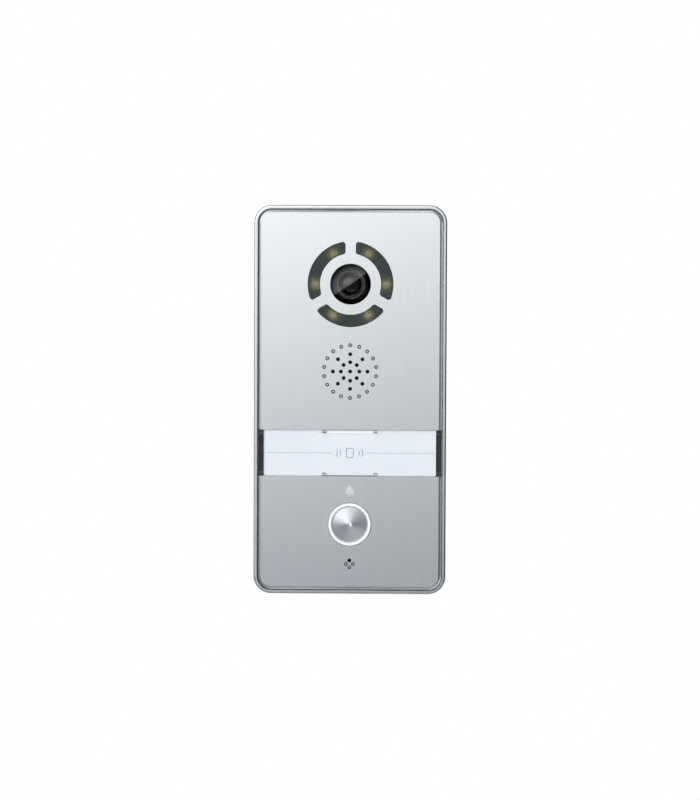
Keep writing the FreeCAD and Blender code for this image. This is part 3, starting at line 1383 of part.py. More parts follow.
def capacitors():
    """Upright electrolytic capacitors beside the speaker and button."""
    body = new_body("capacitors")
    places = [
        ("-28", SPEAKER_Z),
        ("28", f"{SPEAKER_Z} + 8"),
        ("26", f"{BUTTON_Z} - 6"),
        ("-27", f"{BUTTON_Z} - 13"),
    ]
    top = f"{BOARD_FRONT} + dim.capacitor_height"
    cans = pad(body, [circle("dim.capacitor_radius", x, z) for x, z in places], BOARD_FRONT, top)
    dress(body, "Chamfer", cans, edges_at(cans, top, lambda edge: True), Size="dim.capacitor_crimp")


POWER_PARTS_Z = f"({BAY_Z} + dim.bay_height / 2 + dim.power_parts_above_bay)"


def door_relay():
    """Relay that switches the door lock, on the back of the board above the connection bay."""
    body = new_body("door_relay")
    outline = rectangle("dim.relay_width", "dim.relay_height", x="-dim.relay_aside", z=POWER_PARTS_Z)
    top = f"{BOARD_BACK} - dim.relay_thickness"
    case = pad(body, [outline], top, BOARD_BACK)
    dress(body, "Chamfer", case, edges_at(case, top, lambda edge: True), Size="dim.relay_edge")


def power_transformer():
    """Transformer of the network power supply, on the back of the board."""
    body = new_body("power_transformer")
    aside = "dim.transformer_aside"
    base = rectangle("dim.transformer_base", "dim.transformer_height", x=aside, z=POWER_PARTS_Z)
    core = rectangle("dim.transformer_core", "dim.transformer_height", x=aside, z=POWER_PARTS_Z)
    base_top = f"{BOARD_BACK} - dim.transformer_base_thickness"
    pad(body, [base], base_top, BOARD_BACK)
    pad(body, [core], f"{BOARD_BACK} - dim.transformer_thickness", base_top)


TERMINAL_X = "(-dim.bay_width / 2 + dim.terminal_from_bay_side)"
TERMINAL_LENGTH = "(dim.terminal_pitch * dim.terminal_count + 2 * dim.terminal_end_wall)"
TERMINAL_REAR = f"({BOARD_BACK} - dim.terminal_height)"
TERMINAL_FIRST_Z = f"({BAY_Z} - dim.terminal_pitch * (dim.terminal_count - 1) / 2)"


def terminal_block():
    """Screw terminals for power, lock and exit button; wires enter from the side facing the socket."""
    body = new_body("terminal_block")
    housing = rectangle("dim.terminal_width", TERMINAL_LENGTH, x=TERMINAL_X, z=BAY_Z)
    pad(body, [housing], TERMINAL_REAR, BOARD_BACK)
    entry = rectangle("dim.wire_entry", "dim.wire_entry")
    side = body.newObject("PartDesign::Pocket", "terminal_block_entry")
    side.Profile = sketch_on(
        body, [entry], f"{TERMINAL_X} + dim.terminal_width / 2", x=f"-({BOARD_BACK} - 3)", z=TERMINAL_FIRST_Z,
        plane="YZ_Plane",
    )
    side.Length = 6
    document.recompute()
    repeat_up(body, side, "dim.terminal_count", "dim.terminal_pitch")
    well = circle("dim.clamp_screw_radius + 0.2")
    top = body.newObject("PartDesign::Pocket", "terminal_block_well")
    top.Profile = sketch_on(body, [well], TERMINAL_REAR, x=f"{TERMINAL_X} - 1", z=TERMINAL_FIRST_Z)
    top.Reversed = True
    top.Length = 2.5
    document.recompute()
    repeat_up(body, top, "dim.terminal_count", "dim.terminal_pitch")


def terminal_screws():
    """Slotted clamp screws, one in each well of the terminal block."""
    body = new_body("terminal_screws")
    back = f"({TERMINAL_REAR} + 0.8)"
    where = {"x": f"{TERMINAL_X} - 1", "z": TERMINAL_FIRST_Z}
    shank = pad(body, [circle("dim.clamp_screw_radius")], back, f"{TERMINAL_REAR} + 2.5", **where)
    repeat_up(body, shank, "dim.terminal_count", "dim.terminal_pitch")
    slot = cut(body, [rectangle("dim.drive_slot", "3")], back, f"{back} + 0.5", **where)
    repeat_up(body, slot, "dim.terminal_count", "dim.terminal_pitch")


SOCKET_X = "(dim.bay_width / 2 - dim.socket_width / 2 - dim.socket_from_bay_side)"
SOCKET_Z = f"({BAY_Z} + dim.bay_height / 2 - dim.socket_length / 2 - dim.socket_from_bay_top)"


def network_socket():
    """Shielded eight-contact network socket; the plug goes in from below."""
    body = new_body("network_socket")
    can = rectangle("dim.socket_width", "dim.socket_length", x=SOCKET_X, z=SOCKET_Z)
    pad(body, [can], f"{BOARD_BACK} - dim.socket_height", BOARD_BACK)
    mouth = rectangle("dim.socket_mouth_width", "dim.socket_mouth_height")
    hole = body.newObject("PartDesign::Pocket", "network_socket_mouth")
    hole.Profile = sketch_on(
        body, [mouth], f"{SOCKET_Z} - dim.socket_length / 2", x=SOCKET_X,
        z=f"-({BOARD_BACK} - dim.socket_height / 2)", plane="XY_Plane",
    )
    hole.Reversed = True
    hole.setExpression("Length", "dim.socket_mouth_depth")
    document.recompute()


TAMPER_CASE_BACK = f"({BOARD_BACK} - dim.tamper_case_height)"
TAMPER_PIN_FRONT = f"({BOARD_BACK} - dim.tamper_pin_sink)"


def tamper_switch():
    """Switch on the back of the board that opens when the station is pulled off the wall."""
    body = new_body("tamper_switch")
    side = "dim.tamper_case"
    where = {"x": "dim.tamper_across", "z": "dim.tamper_up"}
    pad(body, [rounded_rectangle(side, side, "1", **where)], TAMPER_CASE_BACK, BOARD_BACK)
    cut(body, [circle("dim.tamper_pin_radius + 0.1", **where)], TAMPER_CASE_BACK, f"{BOARD_BACK} - 0.6")


def tamper_pin():
    """Pin that the wall holds in, through the rear cover and the wall plate."""
    body = new_body("tamper_pin")
    where = {"x": "dim.tamper_across", "z": "dim.tamper_up"}
    rod = pad(body, [circle("dim.tamper_pin_radius", **where)], "0.1", TAMPER_PIN_FRONT)
    dress(body, "Fillet", rod, edges_at(rod, "0.1", lambda edge: True), Radius="0.5")


# ---- Rear cover and wall plate --------------------------------------------------------------------------


def rear_cover():
    """Moulded cover with a walled bay for the connections and two hangers for the wall plate's hooks."""
    body = new_body("rear_cover")
    pad(body, [inside("dim.cover_gap")], COVER_BACK, COVER_FRONT)
    bay = rounded_rectangle("dim.bay_width", "dim.bay_height", "2", z=BAY_Z)
    across, up = "dim.bay_width + 2 * dim.bay_wall", "dim.bay_height + 2 * dim.bay_wall"
    well = rounded_rectangle(across, up, "dim.bay_corner + dim.bay_wall", z=BAY_Z)
    pad(body, [well, bay], f"{COVER_FRONT} - 0.5", f"{BOARD_BACK} - dim.bay_board_gap")
    cut(body, [bay], COVER_BACK, COVER_FRONT)
    clearance = "dim.thread_radius + dim.screw_clearance"
    cut(body, [circle(clearance, x, z) for x, z in COVER_SCREWS], COVER_BACK, COVER_FRONT)
    seat = "dim.screw_head_radius + dim.screw_clearance"
    cut(body, [circle(seat, x, z) for x, z in COVER_SCREWS], COVER_BACK, f"{COVER_BACK} + 1")
    pin_hole = circle("dim.tamper_pin_hole", x="dim.tamper_across", z="dim.tamper_up")
    cut(body, [pin_hole], COVER_BACK, COVER_FRONT)
    cheek_x = "(dim.hook_width / 2 + dim.hook_gap + dim.hook_cheek / 2)"
    hanger_z = f"({HOOK_Z} + dim.hook_lip / 2)"
    cheeks = [
        rectangle("dim.hook_cheek", "dim.hook_lip", x=f"{hook}dim.hook_across {side} {cheek_x}", z=hanger_z)
        for hook in ("-", "")
        for side in ("-", "+")
    ]
    bar_back = "(dim.wall_plate_thickness + dim.hook_gap)"
    pad(body, cheeks, bar_back, f"{COVER_BACK} + dim.hook_gap")
    bars = [
        rectangle(f"2 * {cheek_x} + dim.hook_cheek", "dim.hook_lip", x=f"{hook}dim.hook_across", z=hanger_z)
        for hook in ("-", "")
    ]
    pad(body, bars, bar_back, "dim.hook_reach - dim.wall_plate_thickness - dim.hook_gap")


HOOK_Z = "(dim.station_height / 2 - dim.hook_from_top - dim.wall_plate_thickness)"


def rear_seal():
    """Silicone cord between the rear cover and the frame's shelf."""
    body = new_body("rear_seal")
    outline = [inside("dim.cover_gap"), inside("dim.cover_gap + dim.cover_seal_width")]
    pad(body, outline, COVER_FRONT, LEDGE_BACK)


def wall_plate():
    """Pressed steel plate screwed to the wall: two hooks at the top and a tapped tab at the foot."""
    body = new_body("wall_plate")
    thick = "dim.wall_plate_thickness"
    height = f"({INSIDE_HEIGHT} - 2 * dim.wall_plate_end_gap)"
    width = f"({INSIDE_WIDTH} - 2 * dim.wall_plate_side_gap)"
    wall_holes = four_corners("dim.wall_hole_across / 2", "dim.wall_hole_up / 2")
    figures = [
        rounded_rectangle(width, height, "dim.wall_plate_corner"),
        rounded_rectangle("dim.bay_width", "dim.bay_height", "2", z=BAY_Z),
        circle("dim.tamper_pin_hole", x="dim.tamper_across", z="dim.tamper_up"),
    ]
    figures += [circle("dim.wall_hole_radius", x, z) for x, z in wall_holes]
    figures += [
        slot(
            "dim.box_slot_length",
            "dim.box_slot_width",
            x=f"{side}dim.box_slot_spacing / 2",
            z="-dim.box_slot_below_centre",
        )
        for side in ("-", "")
    ]
    pad(body, figures, "0", thick)
    tab_z = f"(-{height} / 2 + {thick} / 2)"
    pad(body, [rectangle("dim.lock_tab_width", thick, z=tab_z)], thick, "dim.lock_tab_reach")
    hooks = ("-dim.hook_across", "dim.hook_across")
    shelves = [rectangle("dim.hook_width", thick, x, f"({HOOK_Z} - {thick} / 2)") for x in hooks]
    pad(body, shelves, thick, "dim.hook_reach")
    lip_z = f"({HOOK_Z} + (dim.hook_lip - {thick}) / 2)"
    lips = [rectangle("dim.hook_width", f"dim.hook_lip + {thick}", x, lip_z) for x in hooks]
    pad(body, lips, f"dim.hook_reach - {thick}", "dim.hook_reach")
    bore_up(body, "dim.thread_radius", f"-{height} / 2 - 1", f"{thick} + 2")


def lock_screw():
    """Security screw that goes up through the frame's foot into the wall plate's tab."""
    height = f"({INSIDE_HEIGHT} / 2 - dim.wall_plate_end_gap)"
    under_head = f"(dim.station_height / 2 - {LOCK_HEAD_DEPTH})"
    reach = f"({under_head} - {height} + dim.wall_plate_thickness + 0.8)"
    spot = {"out": "dim.lock_screw_out", "turn": 0}
    sizes = {"Radius": "dim.thread_radius", "Height": reach}
    shank = primitive("Cylinder", "lock_shank", sizes, z=f"-{under_head}", **spot)
    head = primitive(
        "Cylinder",
        "lock_head",
        {"Radius": "dim.screw_head_radius", "Height": "dim.screw_head_height"},
        z=f"-{under_head} - dim.screw_head_height",
        **spot,
    )
    drive = primitive(
        "Prism",
        "lock_drive",
        {"Circumradius": "dim.screw_head_radius / 2", "Height": "dim.screw_head_height / 2"},
        z=f"-{under_head} - dim.screw_head_height",
        **spot,
    )
    drive.Polygon = 6
    blank = boolean("Fuse", "lock_blank", head, shank)
    return boolean("Cut", "lock_screw", blank, drive)


def tamper_spring():
    """Coil spring that pushes the tamper pin out."""
    back = TAMPER_PIN_FRONT
    front = f"({BOARD_BACK} - 0.6)"
    radius = "(dim.tamper_pin_radius - 0.4)"
    place_at = ("dim.tamper_across", "dim.tamper_up")
    wire, turns = "dim.tamper_spring_wire", "dim.tamper_spring_turns"
    return coil_spring("tamper_spring", radius, wire, turns, back, front, *place_at)


def button_spring():
    """Coil spring that lifts the cap, round the guide's hub."""
    return coil_spring(
        "button_spring",
        "dim.button_spring_radius",
        "dim.button_spring_wire",
        "dim.button_spring_turns",
        GUIDE_SEAT,
        CAP_BACK,
        "0",
        BUTTON_Z,
    )


# ---- Screws ---------------------------------------------------------------------------------------------


def all_screws():
    """Every group of like screws."""
    flange_back = f"{DECK_BACK} - dim.flange_thickness"
    carrier_bite = "dim.flange_thickness + dim.small_screw_bite"
    screws("carrier_screws", CARRIER_SCREWS, flange_back, carrier_bite, head=-1, small=True)
    board_bite = "dim.board_thickness + dim.screw_bite"
    screws("board_screws", BOARD_SCREWS, BOARD_BACK, board_bite, head=-1, small=True)
    lamp_bite = f"{LAMP_BOARD_FRONT} - {LAMP_BOARD_BACK} + dim.small_screw_bite"
    screws("lamp_board_screws", LAMP_BOARD_SCREWS, LAMP_BOARD_BACK, lamp_bite, head=-1, small=True)
    camera_bite = f"{CAMERA_BOARD_FRONT} - {BOARD_BACK}"
    screws("camera_screws", CAMERA_SCREWS, CAMERA_BOARD_FRONT, camera_bite, head=1, small=True)
    seat = f"{COVER_BACK} + 1"
    screws("cover_screws", COVER_SCREWS, seat, "dim.cover_thickness + dim.screw_bite", head=-1)


PIECES = [
    front_frame, front_carrier, upper_face_plate, lower_face_plate,
    camera_window, camera_window_seal, camera_light_window, camera_light_board, camera_lights, light_sensors,
    lens_barrel, front_lens, rear_lens, iris, lens_holder, image_sensor, camera_board,
    speaker_mesh, speaker_seal, speaker_basket, speaker_cone, speaker_magnet,
    name_panel, name_card, light_guide, reader_board, reader_coil, backlights,
    button_cap, button_light_ring, button_seal, button_guide, button_spring, push_switch, switch_plunger,
    ring_lights,
    microphone_boot, microphone_capsule,
    main_board, processor_shield, circuit_chips, capacitors, door_relay, power_transformer,
    terminal_block, terminal_screws, network_socket, tamper_switch, tamper_pin, tamper_spring,
    rear_cover, rear_seal, wall_plate, lock_screw,
    all_screws,
]

for make in PIECES:
    make()
document.recompute()

failed = [item.Name for item in document.Objects if {"Invalid", "Error"} & set(item.State)]
for name, piece in finished.items():
    if piece.Shape.isNull() or not piece.Shape.isValid() or not piece.Shape.Solids:
        failed.append(name)
if failed:
    raise RuntimeError(f"These did not build: {', '.join(sorted(set(failed)))}")

os.makedirs("parts", exist_ok=True)
for name, piece in sorted(finished.items()):
    piece.Shape.exportStep(f"parts/{name}.step")
    print(f"{name}: {len(piece.Shape.Solids)} solid(s), {piece.Shape.Volume:.1f} mm3")
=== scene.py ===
"""The looks of a surface-mounted video door station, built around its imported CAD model.

The frame is in metres. Names that end in _MM, pattern sizes and the corners of new pieces are in millimetres.
+X is right, +Z is up and -Y points out of the wall, towards the visitor.
"""

import math

import bpy
import numpy as np
from mathutils import Matrix, Vector


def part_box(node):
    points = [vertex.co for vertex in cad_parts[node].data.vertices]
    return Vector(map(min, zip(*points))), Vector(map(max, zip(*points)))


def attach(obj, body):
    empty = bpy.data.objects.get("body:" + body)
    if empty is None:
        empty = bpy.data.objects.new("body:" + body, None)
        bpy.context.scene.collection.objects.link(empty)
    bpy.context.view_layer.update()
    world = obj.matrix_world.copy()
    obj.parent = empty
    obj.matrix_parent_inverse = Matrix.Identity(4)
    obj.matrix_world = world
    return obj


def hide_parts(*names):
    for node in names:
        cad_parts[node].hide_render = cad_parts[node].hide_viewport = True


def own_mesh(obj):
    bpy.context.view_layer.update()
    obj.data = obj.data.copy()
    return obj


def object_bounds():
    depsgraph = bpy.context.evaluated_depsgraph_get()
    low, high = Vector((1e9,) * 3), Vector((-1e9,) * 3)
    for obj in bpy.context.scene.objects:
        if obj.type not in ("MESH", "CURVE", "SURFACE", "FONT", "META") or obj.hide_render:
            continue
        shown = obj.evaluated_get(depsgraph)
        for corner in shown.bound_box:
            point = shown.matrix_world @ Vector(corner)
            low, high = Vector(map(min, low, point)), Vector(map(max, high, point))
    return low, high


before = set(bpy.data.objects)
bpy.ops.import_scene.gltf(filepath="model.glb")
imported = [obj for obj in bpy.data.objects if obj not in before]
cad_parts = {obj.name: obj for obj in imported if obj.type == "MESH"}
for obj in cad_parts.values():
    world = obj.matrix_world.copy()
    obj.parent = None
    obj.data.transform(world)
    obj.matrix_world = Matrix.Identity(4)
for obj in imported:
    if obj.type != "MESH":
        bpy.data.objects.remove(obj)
cad_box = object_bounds()
MM = 0.001


# ---- Studio: camera ---------------------------------------------------------------------------------------
# The station hangs at eye height in front of a long lens, a hand's breadth off its middle, upwards and to the
# right, and the lens is turned by a quarter of a degree. The view is 411 mm high at the face plates.

CAMERA_DISTANCE = 1.15
CAMERA_AZIMUTH = math.radians(1.2)
CAMERA_ELEVATION = math.radians(1.8)
CAMERA_ROLL = math.radians(0.25)
VIEW_HEIGHT = 0.41115
FILM_HEIGHT_MM = 36.0

lowest, highest = (Vector(corner) for corner in cad_box)
face_middle = Vector(((lowest.x + highest.x) / 2, lowest.y, (lowest.z + highest.z) / 2))
away = Vector((
    math.sin(CAMERA_AZIMUTH) * math.cos(CAMERA_ELEVATION),
    -math.cos(CAMERA_AZIMUTH) * math.cos(CAMERA_ELEVATION),
    math.sin(CAMERA_ELEVATION),
))
camera = bpy.data.objects.new("camera", bpy.data.cameras.new("camera"))
bpy.context.scene.collection.objects.link(camera)
bpy.context.scene.camera = camera
camera.data.sensor_fit = "VERTICAL"
camera.data.sensor_height = FILM_HEIGHT_MM
camera.data.lens = FILM_HEIGHT_MM * CAMERA_DISTANCE / VIEW_HEIGHT
camera.data.clip_start = 0.01
camera_place = face_middle + CAMERA_DISTANCE * away
facing = away.to_track_quat("Z", "Y").to_matrix().to_4x4()
camera.matrix_world = Matrix.Translation(camera_place) @ facing @ Matrix.Rotation(CAMERA_ROLL, 4, "Z")


# ---- Studio: light ----------------------------------------------------------------------------------------
# A white cove, bright above and to the left of the camera and falling off to a dim, bluish floor and dim sides. The
# flat camera window mirrors one slanted line of light out of it. A soft box above lights the small steps. Slopes
# are a direction's rise, or its way across, for each unit towards the camera.

COVE_SLOPE_LOW, COVE_SLOPE_HIGH = -0.11, 0.24
COVE_DIM, COVE_BRIGHT = 0.40, 2.06
FLOOR_SLOPE_LOW, FLOOR_SLOPE_HIGH = -0.32, -0.15
FLOOR_SHARE = 0.42
SIDE_SHARE = 2.1
SIDE_REACH = 0.4
FALL_START, FALL_END = 0.9, 0.25
SIDE_GLOW = 0.04
LEFT_GLOW = 0.09
REAR_WALL = 0.6
REAR_START, REAR_END = 0.35, 0.8
COOL_LIGHT, WARM_LIGHT = [0.87, 0.95, 1.07, 1.0], [1.0, 0.995, 0.985, 1.0]
PAPER_WHITE = [1.0, 1.0, 1.0, 1.0]
LEAST_AHEAD = 0.001
SOFT_BOX_SIZE, SOFT_BOX_POWER = 0.5, 0.3
SOFT_BOX_PLACE = Vector((0.15, -0.9, 1.0))
LINE_SLANT = math.radians(34.5)
LINE_BRIGHT = 0.95
LINE_FADE = 0.0095
LINE_FIELD, LINE_FIELD_CORE = 0.03, 0.018


def linear(hex_colour):
    """Linear RGBA of an sRGB hex colour: each channel through the inverse of the sRGB curve."""
    channels = [int(hex_colour[place:place + 2], 16) / 255 for place in (1, 3, 5)]
    return [c / 12.92 if c <= 0.04045 else ((c + 0.055) / 1.055) ** 2.4 for c in channels] + [1.0]


def add(tree, kind, feeds=None, **settings):
    """Adds a shader node. Settings are its properties; feeds give its inputs a value or another node's output."""
    made = tree.nodes.new("ShaderNode" + kind)
    for name, setting in settings.items():
        setattr(made, name, setting)
    for socket, feed in (feeds or {}).items():
        if isinstance(feed, bpy.types.NodeSocket):
            tree.links.new(feed, made.inputs[socket])
        else:
            made.inputs[socket].default_value = feed
    return made


bpy.context.scene.view_settings.view_transform = "Standard"

eye_low, eye_high = (Vector(corner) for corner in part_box("camera_window"))
eye = Vector(((eye_low.x + eye_high.x) / 2, eye_low.y, (eye_low.z + eye_high.z) / 2))
sight = eye - camera_place
line_across, line_up = sight.x / sight.y, sight.z / sight.y

cove = bpy.data.worlds.new("cove")
bpy.context.scene.world = cove
cove.use_nodes = True
tree = cove.node_tree
tree.nodes.clear()
heading = add(tree, "SeparateXYZ", {0: add(tree, "TexCoord").outputs["Generated"]})
ahead = add(tree, "Math", {0: heading.outputs["Y"], 1: -1.0}, operation="MULTIPLY")
ahead = add(tree, "Math", {0: ahead.outputs[0], 1: LEAST_AHEAD}, operation="MAXIMUM")
across = add(tree, "Math", {0: heading.outputs["X"], 1: ahead.outputs[0]}, operation="DIVIDE")
up = add(tree, "Math", {0: heading.outputs["Z"], 1: ahead.outputs[0]}, operation="DIVIDE")
climb = add(tree, "MapRange", {
    "Value": up.outputs[0], "From Min": COVE_SLOPE_LOW, "From Max": COVE_SLOPE_HIGH,
    "To Min": COVE_DIM, "To Max": COVE_BRIGHT,
})
lean = add(tree, "MapRange", {
    "Value": across.outputs[0], "From Min": -SIDE_REACH, "From Max": SIDE_REACH,
    "To Min": 1 + SIDE_SHARE * SIDE_REACH, "To Max": 1 - SIDE_SHARE * SIDE_REACH,
})
wall = add(tree, "Math", {0: climb.outputs[0], 1: lean.outputs[0]}, operation="MULTIPLY")
dip = add(tree, "MapRange", {
    "Value": up.outputs[0], "From Min": FLOOR_SLOPE_LOW, "From Max": FLOOR_SLOPE_HIGH, "To Min": FLOOR_SHARE,
    "To Max": 1.0,
}, interpolation_type="SMOOTHSTEP")
wall = add(tree, "Math", {0: wall.outputs[0], 1: dip.outputs[0]}, operation="MULTIPLY")
fall = add(tree, "MapRange", {
    "Value": ahead.outputs[0], "From Min": FALL_END, "From Max": FALL_START,
}, interpolation_type="SMOOTHSTEP")
left = add(tree, "MapRange", {
    "Value": heading.outputs["X"], "From Min": 0.0, "From Max": -1.0, "To Min": SIDE_GLOW, "To Max": LEFT_GLOW,
}, interpolation_type="SMOOTHSTEP")
wall = add(tree, "Mix", {0: fall.outputs[0], 2: left.outputs[0], 3: wall.outputs[0]})
across = add(tree, "Math", {0: across.outputs[0], 1: line_across}, operation="SUBTRACT")
up = add(tree, "Math", {0: up.outputs[0], 1: line_up}, operation="SUBTRACT")
raised = add(tree, "Math", {0: up.outputs[0], 1: math.cos(LINE_SLANT)}, operation="MULTIPLY")
shifted = add(tree, "Math", {0: across.outputs[0], 1: -math.sin(LINE_SLANT)}, operation="MULTIPLY")
over_line = add(tree, "Math", {0: raised.outputs[0], 1: shifted.outputs[0]}, operation="ADD")
faded = add(tree, "MapRange", {
    "Value": over_line.outputs[0], "From Min": 0.0, "From Max": LINE_FADE, "To Min": LINE_BRIGHT, "To Max": 0.0,
})
lit_side = add(tree, "Math", {0: over_line.outputs[0], 1: 0.0}, operation="GREATER_THAN")
line = add(tree, "Math", {0: faded.outputs[0], 1: lit_side.outputs[0]}, operation="MULTIPLY")
off_line = add(tree, "CombineXYZ", {"X": across.outputs[0], "Y": up.outputs[0]})
field = add(tree, "MapRange", {
    "Value": add(tree, "VectorMath", {0: off_line.outputs[0]}, operation="LENGTH").outputs["Value"],
    "From Min": LINE_FIELD, "From Max": LINE_FIELD_CORE,
})
front = add(tree, "Mix", {0: field.outputs[0], 2: wall.outputs[0], 3: line.outputs[0]})
is_front = add(tree, "MapRange", {"Value": heading.outputs["Y"], "From Min": REAR_END, "From Max": REAR_START})
shade = add(tree, "Mix", {0: is_front.outputs[0], 2: REAR_WALL, 3: front.outputs[0]})
seen = add(tree, "Mix", {0: add(tree, "LightPath").outputs["Is Camera Ray"], 2: shade.outputs[0], 3: 1.0})
colour = add(tree, "Mix", {
    0: climb.outputs[0], 6: COOL_LIGHT, 7: WARM_LIGHT,
}, data_type="RGBA")
colour = add(tree, "Mix", {
    0: add(tree, "LightPath").outputs["Is Camera Ray"], 6: colour.outputs[2], 7: PAPER_WHITE,
}, data_type="RGBA")
glow = add(tree, "Background", {"Color": colour.outputs[2], "Strength": seen.outputs[0]})
tree.links.new(glow.outputs[0], add(tree, "OutputWorld").inputs["Surface"])

soft_box = bpy.data.objects.new("soft_box", bpy.data.lights.new("soft_box", "AREA"))
bpy.context.scene.collection.objects.link(soft_box)
soft_box.data.size = SOFT_BOX_SIZE
soft_box.data.energy = SOFT_BOX_POWER
soft_box.location = face_middle + SOFT_BOX_PLACE
soft_box.rotation_euler = (soft_box.location - face_middle).to_track_quat("Z", "Y").to_euler()


# ---- Studio: floor ----------------------------------------------------------------------------------------
# A pale painted floor, far below the station and out of the front view.

FLOOR_DROP = 0.42
FLOOR_HALF = 0.9

pale_paint = bpy.data.materials.new("pale_floor_paint")
pale_paint.use_nodes = True
pale_paint.node_tree.nodes["Principled BSDF"].inputs["Base Color"].default_value = linear("#E9EAEB")
pale_paint.node_tree.nodes["Principled BSDF"].inputs["Roughness"].default_value = 0.6
floor_mesh = bpy.data.meshes.new("floor")
floor_level = lowest.z - FLOOR_DROP
floor_corners = [(x * FLOOR_HALF, y * FLOOR_HALF, floor_level) for x, y in ((-1, -1), (1, -1), (1, 1), (-1, 1))]
floor_mesh.from_pydata(floor_corners, [], [(0, 1, 2, 3)])
floor_mesh.materials.append(pale_paint)
floor = bpy.data.objects.new("floor", floor_mesh)
bpy.context.scene.collection.objects.link(floor)


# ---- Frame ------------------------------------------------------------------------------------------------
# Die-cast aluminium, blasted with fine glass beads and satin anodised. The blasting leaves 0.15 mm grains, drawn here
# at 0.35 mm so that they show, and the anodising keeps a soft, slightly cool sheen.


USUAL_LOW, USUAL_HIGH = 0.3, 0.7


def finish(name, **surface):
    """A material with its constants on the shader's own sockets. Underscores in the names stand for spaces."""
    made = bpy.data.materials.new(name)
    made.use_nodes = True
    shader = made.node_tree.nodes["Principled BSDF"]
    for socket, setting in surface.items():
        words = socket.replace("_", " ")
        shader.inputs[words].default_value = linear(setting) if isinstance(setting, str) else setting
    return made, made.node_tree, shader


def grain(tree, across_mm, out_mm, up_mm, detail=2.0):
    """Noise on the piece's own coordinates, with grains of the given millimetres along X, Y and Z."""
    scales = [1 / (size * MM) for size in (across_mm, out_mm, up_mm)]
    spot = add(tree, "Mapping", {"Vector": add(tree, "TexCoord").outputs["Object"], "Scale": scales})
    noise = add(tree, "TexNoise", {"Vector": spot.outputs[0], "Scale": 1.0, "Detail": detail})
    return noise.outputs["Fac"]


def tint(tree, shader, pattern, low, high):
    """Base colour between two hex colours, as the pattern goes from its usual low to its usual high."""
    swing = add(tree, "MapRange", {"Value": pattern, "From Min": USUAL_LOW, "From Max": USUAL_HIGH})
    mixed = add(tree, "Mix", {0: swing.outputs[0], 6: linear(low), 7: linear(high)}, data_type="RGBA")
    tree.links.new(mixed.outputs[2], shader.inputs["Base Color"])


def vary(tree, shader, pattern, low, high):
    """Roughness between two values with the pattern."""
    swing = add(tree, "MapRange", {
        "Value": pattern, "From Min": USUAL_LOW, "From Max": USUAL_HIGH, "To Min": low, "To Max": high,
    })
    tree.links.new(swing.outputs[0], shader.inputs["Roughness"])


def relief(tree, shader, pattern, depth_mm):
    """Bump as deep as the pattern goes from 0 to 1."""
    bump = add(tree, "Bump", {"Height": pattern, "Distance": depth_mm * MM, "Strength": 1.0})
    tree.links.new(bump.outputs[0], shader.inputs["Normal"])


def dress(material, *names):
    """Puts a material on every slot of the named CAD pieces."""
    for name in names:
        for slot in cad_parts[name].material_slots:
            slot.material = material


def prism(outline, low, high, inner=None):
    """Corners (x, out, z) and faces of a plate between two heights in millimetres: an outline (x, z), less a hole of
    as many corners if one is given. Each outline runs anticlockwise as the visitor sees it."""
    loops = [outline] if inner is None else [outline, inner]
    count = len(outline)
    corners = [(x, out, z) for loop in loops for out in (low, high) for x, z in loop]
    here = range(count)
    after = [(step + 1) % count for step in here]
    faces = [(i, j, count + j, count + i) for i, j in zip(here, after)]
    if inner is None:
        return corners, faces + [tuple(reversed(here)), tuple(count + i for i in here)]
    faces += [(3 * count + i, 3 * count + j, 2 * count + j, 2 * count + i) for i, j in zip(here, after)]
    faces += [(count + i, count + j, 3 * count + j, 3 * count + i) for i, j in zip(here, after)]
    faces += [(2 * count + i, 2 * count + j, j, i) for i, j in zip(here, after)]
    return corners, faces


def arc(radius, start, end, steps, x=0.0, z=0.0):
    """Points (x, z) on a circle from one angle to another in degrees, anticlockwise from +X."""
    turns = [math.radians(start + (end - start) * step / steps) for step in range(steps + 1)]
    return [(x + radius * math.cos(turn), z + radius * math.sin(turn)) for turn in turns]


def piece(name, solids, material, body="root"):
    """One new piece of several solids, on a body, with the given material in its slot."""
    corners, faces = [], []
    for solid_corners, solid_faces in solids:
        faces += [tuple(len(corners) + index for index in face) for face in solid_faces]
        corners += solid_corners
    mesh = bpy.data.meshes.new(name)
    mesh.from_pydata([(x * MM, -out * MM, z * MM) for x, out, z in corners], [], faces)
    mesh.materials.append(material)
    made = bpy.data.objects.new(name, mesh)
    bpy.context.scene.collection.objects.link(made)
    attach(made, body)
    return made


satin, tree, shader = finish("bead_blasted_anodised_aluminium", Metallic=1.0, Roughness=0.25)
beads = grain(tree, 0.35, 0.35, 0.35)
tint(tree, shader, beads, "#C9CCD0", "#D3D6D9")
vary(tree, shader, grain(tree, 6, 6, 6), 0.22, 0.28)
relief(tree, shader, beads, 0.004)
dress(satin, "front_frame")


# ---- Face plates ------------------------------------------------------------------------------------------
# Two stainless steel sheets, brushed upwards with a fine belt and bevelled all round. The belt's scratches are about
# 0.1 mm wide and tens of millimetres long, drawn 0.3 mm wide; they spread a reflection sideways, hardly up or down.
# The dimples' sloping walls in the plates' middle are painted a dark grey, a painted shade for their hollows; the
# bevels round the plates are brushed as well.

DIMPLE_SHADE_GREY = "#7C8084"
FLAT_SLOPE, STEEP_SLOPE = -0.97, -0.85
BAND_SHARE = 0.12
SHADE_HALF_WIDTH_MM, SHADE_HALF_HEIGHT_MM = 41.0, 89.0

